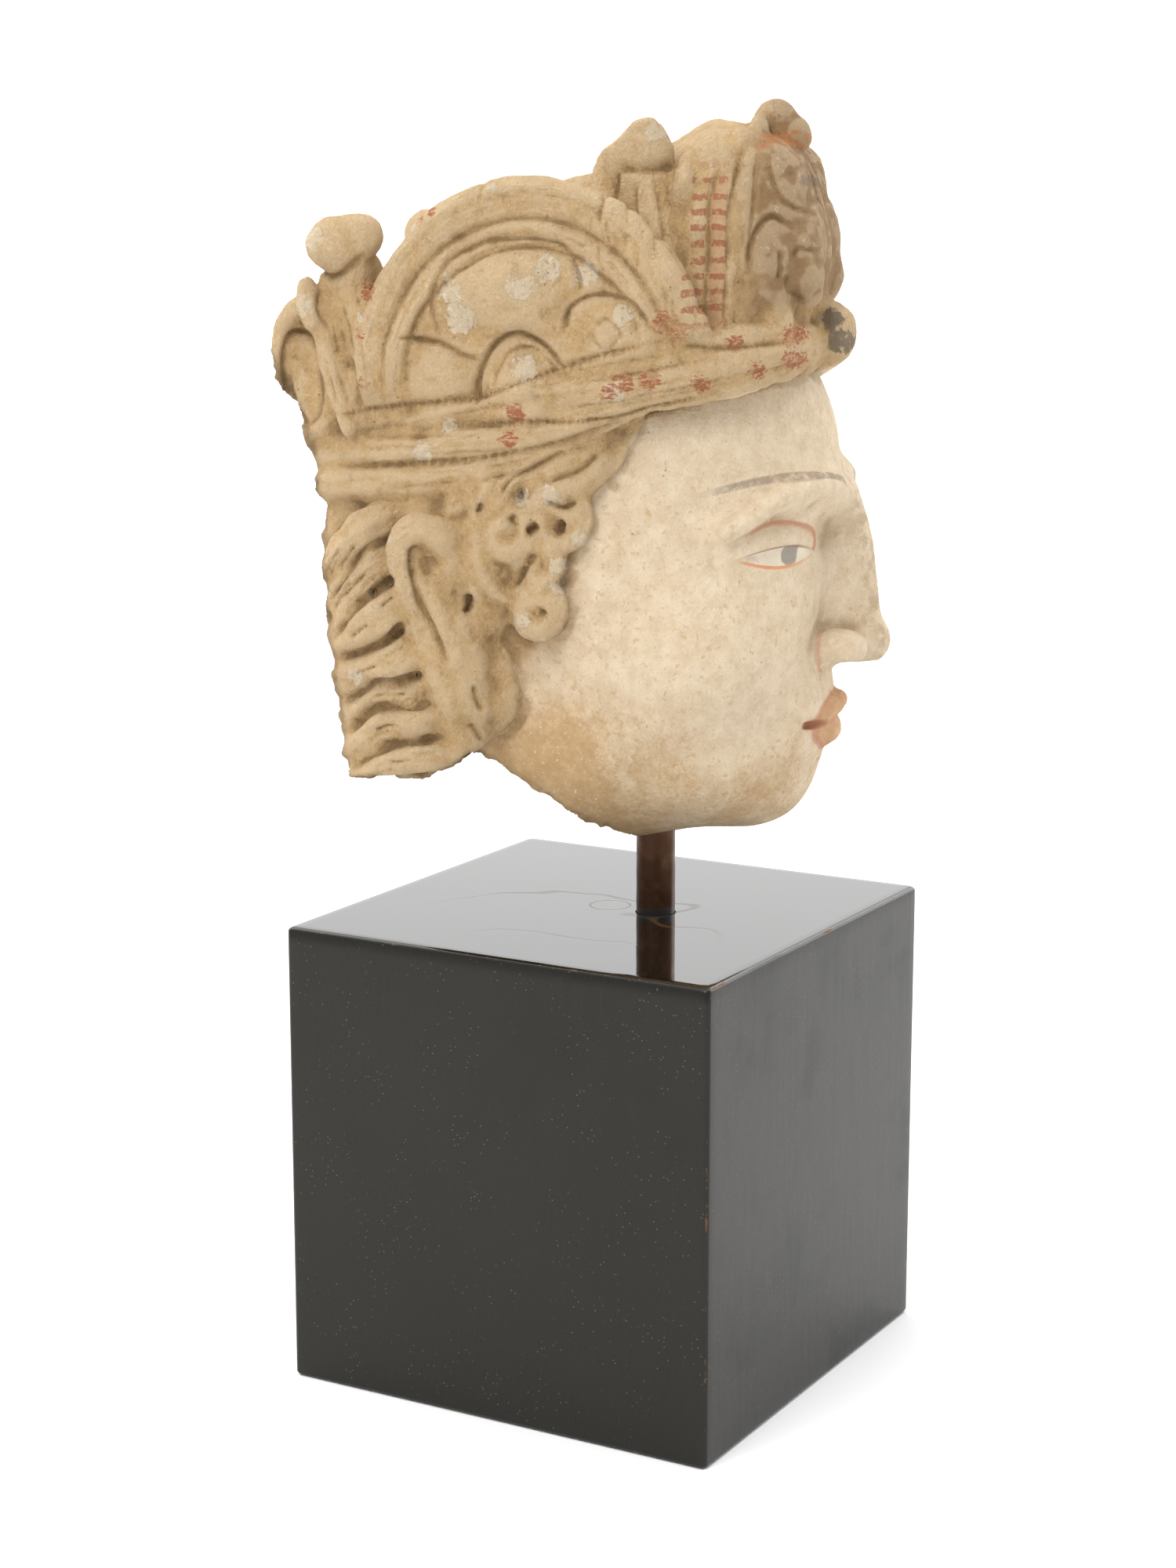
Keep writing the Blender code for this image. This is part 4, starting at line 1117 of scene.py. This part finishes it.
def band_of(value, middle, reach, soft):
    """1 where the value lies within reach of the middle, fading over the soft width."""
    gap = stucco.gap_of(value, middle)
    return ramp(gap, reach + soft, reach)


place = stucco.node("Attribute", attribute_name="head_place").outputs["Vector"]
axes = stucco.node("SeparateXYZ", {0: place})
out, back, up = stucco.math("ABSOLUTE", axes.outputs[0]), axes.outputs[1], axes.outputs[2]
face, snapped = field("face"), field("snapped")
fine, broad = field("hollow_fine"), field("hollow_broad")
# Fine hollows, darkened below as painted shade.
hollow = ramp(fine, 0.08, 0.42)
# Broad recesses: darkened below with painted shade and dirt, and the grime patches gather there.
deep = ramp(broad, 0.3, 1.9)
# Broad crests, where the tan is made paler below: a painted highlight on the raised parts, and their wear.
crest_highlight_and_wear = ramp(broad, 0.0, -0.9)
# Fine edges that stand out: the pale coat on them is a painted highlight and wear, and the pale flecks gather
# there.
edge_highlight_and_wear = ramp(fine, -0.02, -0.22)
clouds = noise(place, 0.035, 4.0, 0.6, 3.0)
mottle = ramp(noise(place, 0.16, 6.0, 0.65, 31.0), 0.30, 0.70)
spatter = ramp(noise(place, 0.75, 5.0, 0.7, 47.0), 0.34, 0.66)
grit = noise(place, 2.4, 4.0, 0.7, 11.0)
# More ochre towards the back and towards the bottom: the ochre of the back, with painted shade low on the face
# and under the jaw.
low_back = plus(ramp(back, -30.0, 34.0), ramp(up, 68.0, 14.0))
ochre_and_low_shade = times(low_back, 0.5)
ochre_and_low_shade = plus(ochre_and_low_shade, times(minus(clouds, 0.5), 1.3))
ochre_and_low_shade = plus(ochre_and_low_shade, times(minus(spatter, 0.5), 0.22))


def streaks(slope, offset):
    """Noise drawn out along a line of that slope in the side plane: fine folds and the marks of a tool."""
    turned = stucco.node("Mapping", {"Vector": place, "Rotation": (-math.atan(slope), 0.0, 0.0)}).outputs[0]
    drawn = stucco.node("Mapping", {"Vector": turned, "Scale": (0.08, 0.030, 0.30)}).outputs[0]
    return ramp(noise(drawn, 1.0, 2.0, 0.5, offset), 0.34, 0.66)


def sloped(slope, height):
    """How far up from a line of that slope and height in the side plane."""
    return minus(minus(up, height), times(back, slope))


on_band = times(ramp(sloped(-0.24, 157.0), 1.5, -1.5), ramp(sloped(-0.32, 138.0), -1.5, 1.5), less(face))
on_locks = times(ramp(back, 58.0, 64.0), ramp(up, 122.0, 112.0))
on_knot = times(ramp(sloped(-0.24, 157.0), 2.0, 6.0), ramp(out, 50.0, 46.0), ramp(back, -17.0, -14.0))
lay = mix(on_band, (0.5, 0.5, 0.5), streaks(-0.19, 3.0))
lay = coated(lay, streaks(-0.85, 17.0), on_locks)
lay = coated(lay, streaks(-8.0, 29.0), on_knot)
ring_back = stucco.math("DIVIDE", minus(back, 28.0), 46.0)
ring_up = stucco.math("DIVIDE", minus(up, 150.0), 52.0)
ring = from_middle(ring_back, ring_up)
ring_turn = stucco.math("ARCTAN2", ring_up, ring_back)
wound = stucco.node("CombineXYZ", {0: times(ring, 17.0), 1: times(ring_turn, 1.8)}).outputs[0]
on_arch = times(band_of(ring, 1.0, 0.20, 0.03), ramp(out, 50.0, 53.0), ramp(sloped(-0.24, 157.0), -1.0, 2.0))
lay = coated(lay, ramp(noise(wound, 1.0, 2.0, 0.5, 8.0), 0.34, 0.66), on_arch)
tan = mix(mottle, (0.58, 0.355, 0.15), (0.80, 0.54, 0.27))
tan = coated(tan, (0.44, 0.265, 0.11), ramp(lay, 0.45, 0.0, 0.0, 0.14))
tan = coated(tan, (0.86, 0.66, 0.41), ramp(lay, 0.55, 1.0, 0.0, 0.30))
tan = coated(tan, (0.79, 0.55, 0.29), spatter, 0.5)
# Paler on the broad crests: painted highlight, and wear.
tan = coated(tan, (0.84, 0.62, 0.37), crest_highlight_and_wear, 0.35)
cream = mix(mottle, (0.59, 0.455, 0.305), (0.72, 0.60, 0.44))
cream = coated(cream, (0.78, 0.65, 0.475), spatter, 0.4)
ochre = mix(mottle, (0.45, 0.28, 0.13), (0.58, 0.40, 0.215))
skin = mix(ramp(ochre_and_low_shade, 0.12, 0.85), cream, ochre)
stain = patches(place, plus(0.35, times(ochre_and_low_shade, 0.16)), 0.5, 71.0, 0.05)
skin = coated(skin, (0.47, 0.31, 0.155), stain, 0.5)
colour = mix(face, tan, skin)
sand = noise(place, 1.15, 5.0, 0.8, 23.0)
colour = coated(colour, (0.42, 0.26, 0.115), ramp(sand, 0.50, 0.66), ramp(face, 0.0, 1.0, 0.28, 0.08))
colour = coated(colour, (0.88, 0.69, 0.44), ramp(sand, 0.48, 0.34), ramp(face, 0.0, 1.0, 0.40, 0.15))
colour = coated(colour, (0.34, 0.21, 0.10), ramp(grit, 0.52, 0.72, 0.0, 0.26))
grime = patches(place, plus(0.36, times(deep, 0.10)), 0.28, 83.0, 0.08)
colour = coated(colour, (0.33, 0.205, 0.10), grime, less(face), 0.45)
plaster = times(patches(place, times(field("white_ground"), 0.62), 0.55, 5.0, 0.03), less(face))
# Darker brown over the front of the plume: dust, with painted shade on the side that faces away from the light.
plume_dust_and_shade = times(ramp(back, -26.0, -41.0), ramp(sloped(-0.24, 157.0), 2.0, 8.0))
colour = coated(colour, (0.36, 0.215, 0.105), plume_dust_and_shade, ramp(mottle, 0.0, 1.0, 0.92, 0.75))
colour = coated(colour, mix(spatter, (0.80, 0.63, 0.43), (0.90, 0.76, 0.56)), plaster, 0.95)
flecks = patches(place, plus(0.26, times(edge_highlight_and_wear, 0.10)), 0.55, 41.0, 0.015)
colour = coated(colour, (0.74, 0.63, 0.48), flecks, less(snapped), 0.7)
# Pale on the fine edges off the face: painted highlight, and wear.
colour = coated(colour, (0.84, 0.65, 0.42), edge_highlight_and_wear, less(face), 0.34)
# Dark brown in the fine hollows: painted shade, weaker on the face.
hollow_shade_share = times(ramp(face, 0.0, 1.0, 0.52, 0.35), ramp(mottle, 0.0, 1.0, 1.0, 0.55))
colour = coated(colour, (0.20, 0.115, 0.05), hollow, hollow_shade_share)
# Darker in the broad recesses: painted shade and dirt.
colour = coated(colour, (0.37, 0.22, 0.09), deep, ramp(face, 0.0, 1.0, 0.26, 0.20))
colour = coated(colour, mix(mottle, (0.27, 0.17, 0.085), (0.46, 0.32, 0.175)), snapped, 0.8)

rust = (0.50, 0.15, 0.065)
stroke = stucco.node("Mapping", {"Vector": place, "Scale": (1.0, 0.5, 1.4)}).outputs[0]
paint = patches(stroke, times(field("red_ground"), 0.56), 0.9, 19.0, 0.07)
colour = coated(colour, rust, paint, less(face), ramp(mottle, 0.3, 0.6, 0.35, 0.9))
pleat_rows = stucco.math("SINE", plus(times(up, 1.35), times(mottle, 1.6)))
on_pleats = times(band_of(back, -23.2, 4.9, 0.6), ramp(out, 24.0, 28.0))
on_pleats = times(on_pleats, ramp(up, 166.0, 170.0), ramp(up, 218.0, 208.0))
on_second = band_of(back, -26.6, 2.6, 0.5)
colour = coated(colour, (0.66, 0.36, 0.19), on_pleats, on_second, 0.45)
bars_kept = times(patches(place, 0.60, 0.7, 27.0, 0.1), ramp(fine, 0.10, 0.02))
pleat_bars = times(ramp(pleat_rows, 0.15, 0.45), on_pleats, bars_kept)
colour = coated(colour, (0.50, 0.17, 0.08), pleat_bars, 0.80)
arc = stucco.node("VectorMath", {0: place, 1: (0.0, -42.0, 208.0)}, operation="SUBTRACT").outputs[0]
arc_axes = stucco.node("SeparateXYZ", {0: arc})
round_arc = from_middle(arc_axes.outputs[1], arc_axes.outputs[2])
orange = times(band_of(round_arc, 14.6, 1.8, 1.0), patches(place, 0.54, 0.3, 14.0, 0.12))
orange = times(orange, ramp(up, 201.0, 205.0), ramp(back, -34.0, -37.0))
colour = coated(colour, (0.66, 0.25, 0.09), orange, 0.75)
soot = patches(place, times(field("soot_ground"), 0.62), 0.35, 51.0, 0.06)
colour = coated(colour, (0.12, 0.105, 0.09), soot, ramp(up, 175.0, 195.0, 0.72, 0.40))

front = field("eye_front")
brow = times(band_of(field("brow_line"), 0.0, 0.7, 0.7), ramp(field("brow_end"), 0.0, 9.0), face)
brow = times(brow, patches(place, 0.60, 0.35, 8.0, 0.14))
colour = coated(colour, (0.21, 0.165, 0.125), brow, 0.62)
crease = times(band_of(field("crease_line"), 0.75, 0.12, 0.40), face)
crease = times(crease, ramp(field("lash_line"), -0.5, 0.5), ramp(field("iris"), 20.0, 16.5))
colour = coated(colour, (0.50, 0.21, 0.115), crease, 0.75)
opening = times(ramp(field("lash_line"), 0.3, -0.3), ramp(field("rim_line"), -0.3, 0.3), front)
colour = coated(colour, (0.84, 0.76, 0.62), opening, 0.6)
iris = times(opening, ramp(field("iris"), 4.3, 3.6))
colour = coated(colour, (0.235, 0.215, 0.185), iris, 0.75)
lash = times(band_of(field("lash_line"), 0.0, 0.22, 0.40), front)
colour = coated(colour, (0.24, 0.12, 0.065), lash, 0.70)
rim = times(band_of(field("rim_line"), -0.4, 0.30, 0.45), front)
colour = coated(colour, (0.70, 0.23, 0.085), rim, 0.85)
wing = times(band_of(field("wing_line"), 0.9, 0.30, 0.45), ramp(out, 9.5, 11.5), ramp(back, -50.0, -56.0))
colour = coated(colour, (0.52, 0.22, 0.12), wing, 0.65)
lip_gap = stucco.math("MINIMUM", field("upper_lip"), field("lower_lip"))
lips = ramp(lip_gap, 1.0, 0.4)
lips = times(lips, ramp(back, -48.0, -52.0))
colour = coated(colour, mix(mottle, (0.50, 0.275, 0.14), (0.60, 0.355, 0.19)), lips, 0.85)
lip_edge = times(band_of(lip_gap, 0.85, 0.2, 0.35), ramp(back, -48.0, -52.0))
colour = coated(colour, (0.50, 0.19, 0.105), lip_edge, 0.55)
mouth_line = times(ramp(field("parting"), 0.7, 0.0), ramp(back, -48.0, -52.0))
colour = coated(colour, (0.30, 0.10, 0.055), mouth_line, 0.8)
chin_stroke = times(band_of(up, 29.5, 0.3, 0.4), ramp(out, 7.0, 5.5), ramp(back, -40.0, -46.0))
colour = coated(colour, (0.50, 0.19, 0.105), chin_stroke, 0.6)
on_nose = times(ramp(back, -58.0, -66.0), ramp(up, 58.0, 63.0), ramp(out, 9.0, 4.0))
nose_wear = times(on_nose, patches(place, 0.5, 0.25, 61.0, 0.12))
colour = coated(colour, (0.36, 0.25, 0.145), nose_wear, 0.55)
pits = stucco.node("TexVoronoi", {"Vector": place, "Scale": 0.33}, feature="F1")
pit = times(ramp(pits.outputs["Distance"], 0.13, 0.07), patches(place, 0.42, 0.06, 33.0, 0.05))
colour = coated(colour, (0.42, 0.25, 0.11), pit, 0.75)
lost = times(patches(place, 0.345, 0.20, 91.0, 0.008), patches(place, 0.52, 0.04, 55.0, 0.05), face)
colour = coated(colour, (0.55, 0.36, 0.18), lost, 0.7)
height = plus(times(grit, 0.5), times(mottle, 0.5))
height = minus(height, times(pit, 0.8))
height = plus(height, minus(times(spatter, 0.5), times(sand, 0.8)))
height = times(height, ramp(face, 0.0, 1.0, 1.0, 0.30))
height = plus(height, times(plaster, 0.35))
height = plus(height, times(lay, less(face), 0.8))
bump = stucco.node("Bump", {"Height": height, "Strength": 1.0, "Distance": 0.0012}).outputs["Normal"]
stucco.feed(Base_Color=colour, Roughness=0.88, Normal=bump, Specular_IOR_Level=0.25)
piece("head_stucco", head_mesh, stucco.material, "head")

# The studio: a plain pale floor and wide soft lights round it. None of it belongs to the object.

floor_mesh = bpy.data.meshes.new("floor")
floor_radius = 1.5
rim = np.linspace(0, 2 * math.pi, 96, endpoint=False)
floor_rim = np.stack([floor_radius * np.cos(rim), floor_radius * np.sin(rim), 0 * rim], -1)
floor_mesh.from_pydata(floor_rim.tolist(), [], [list(range(96))])
floor = placed("floor", floor_mesh)
paper = Recipe("Pale paper")
paper.feed(Base_Color=(0.9, 0.9, 0.9, 1.0), Roughness=0.9, Specular_IOR_Level=0.1)
floor_mesh.materials.append(paper.material)

white_world = bpy.data.worlds.new("White room")
bpy.context.scene.world = white_world
white_world.use_nodes = True
room = Recipe("White room", white_world.node_tree)
backdrop = white_world.node_tree.nodes["Background"]
backdrop.inputs["Color"].default_value = (1.0, 1.0, 1.0, 1.0)
way_out = room.node("SeparateXYZ", {0: room.node("TexCoord").outputs["Generated"]})
lean = room.plus(room.times(way_out.outputs[0], 0.36), room.times(way_out.outputs[1], 0.14))
white_world.node_tree.links.new(room.plus(1.04, lean), backdrop.inputs["Strength"])


def facing_from(azimuth, elevation):
    """The way to a lamp or the camera, seen from the object: turned from -Y towards +X, then raised."""
    side, tall = math.radians(azimuth), math.radians(elevation)
    return Vector((math.sin(side) * math.cos(tall), -math.cos(side) * math.cos(tall), math.sin(tall)))


lamps = (
    ("key", -90, 42, 1.6, 0.8, 15), ("above", 0, 88, 1.8, 1.8, 12),
    ("back", 190, 44, 1.8, 1.2, 12), ("right", 66, 14, 1.4, 0.9, 7),
)
lamps_aim = Vector((0, 0, 0.27))
for name, azimuth, elevation, distance, size, watts in lamps:
    lamp = bpy.data.lights.new(name, "AREA")
    lamp.size = size
    lamp.energy = watts
    held = placed(name, lamp)
    way = facing_from(azimuth, elevation)
    held.location = lamps_aim + distance * way
    held.rotation_euler = way.to_track_quat("Z", "Y").to_euler()

eye = bpy.data.cameras.new("camera")
eye.lens = 69.735
camera = placed("camera", eye)
camera.location = (-0.84743, -0.47462, 0.39201)
camera.rotation_euler = facing_from(-60.318, 11.569).to_track_quat("Z", "Y").to_euler()
bpy.context.scene.camera = camera
bpy.context.scene.view_settings.view_transform = "Standard"
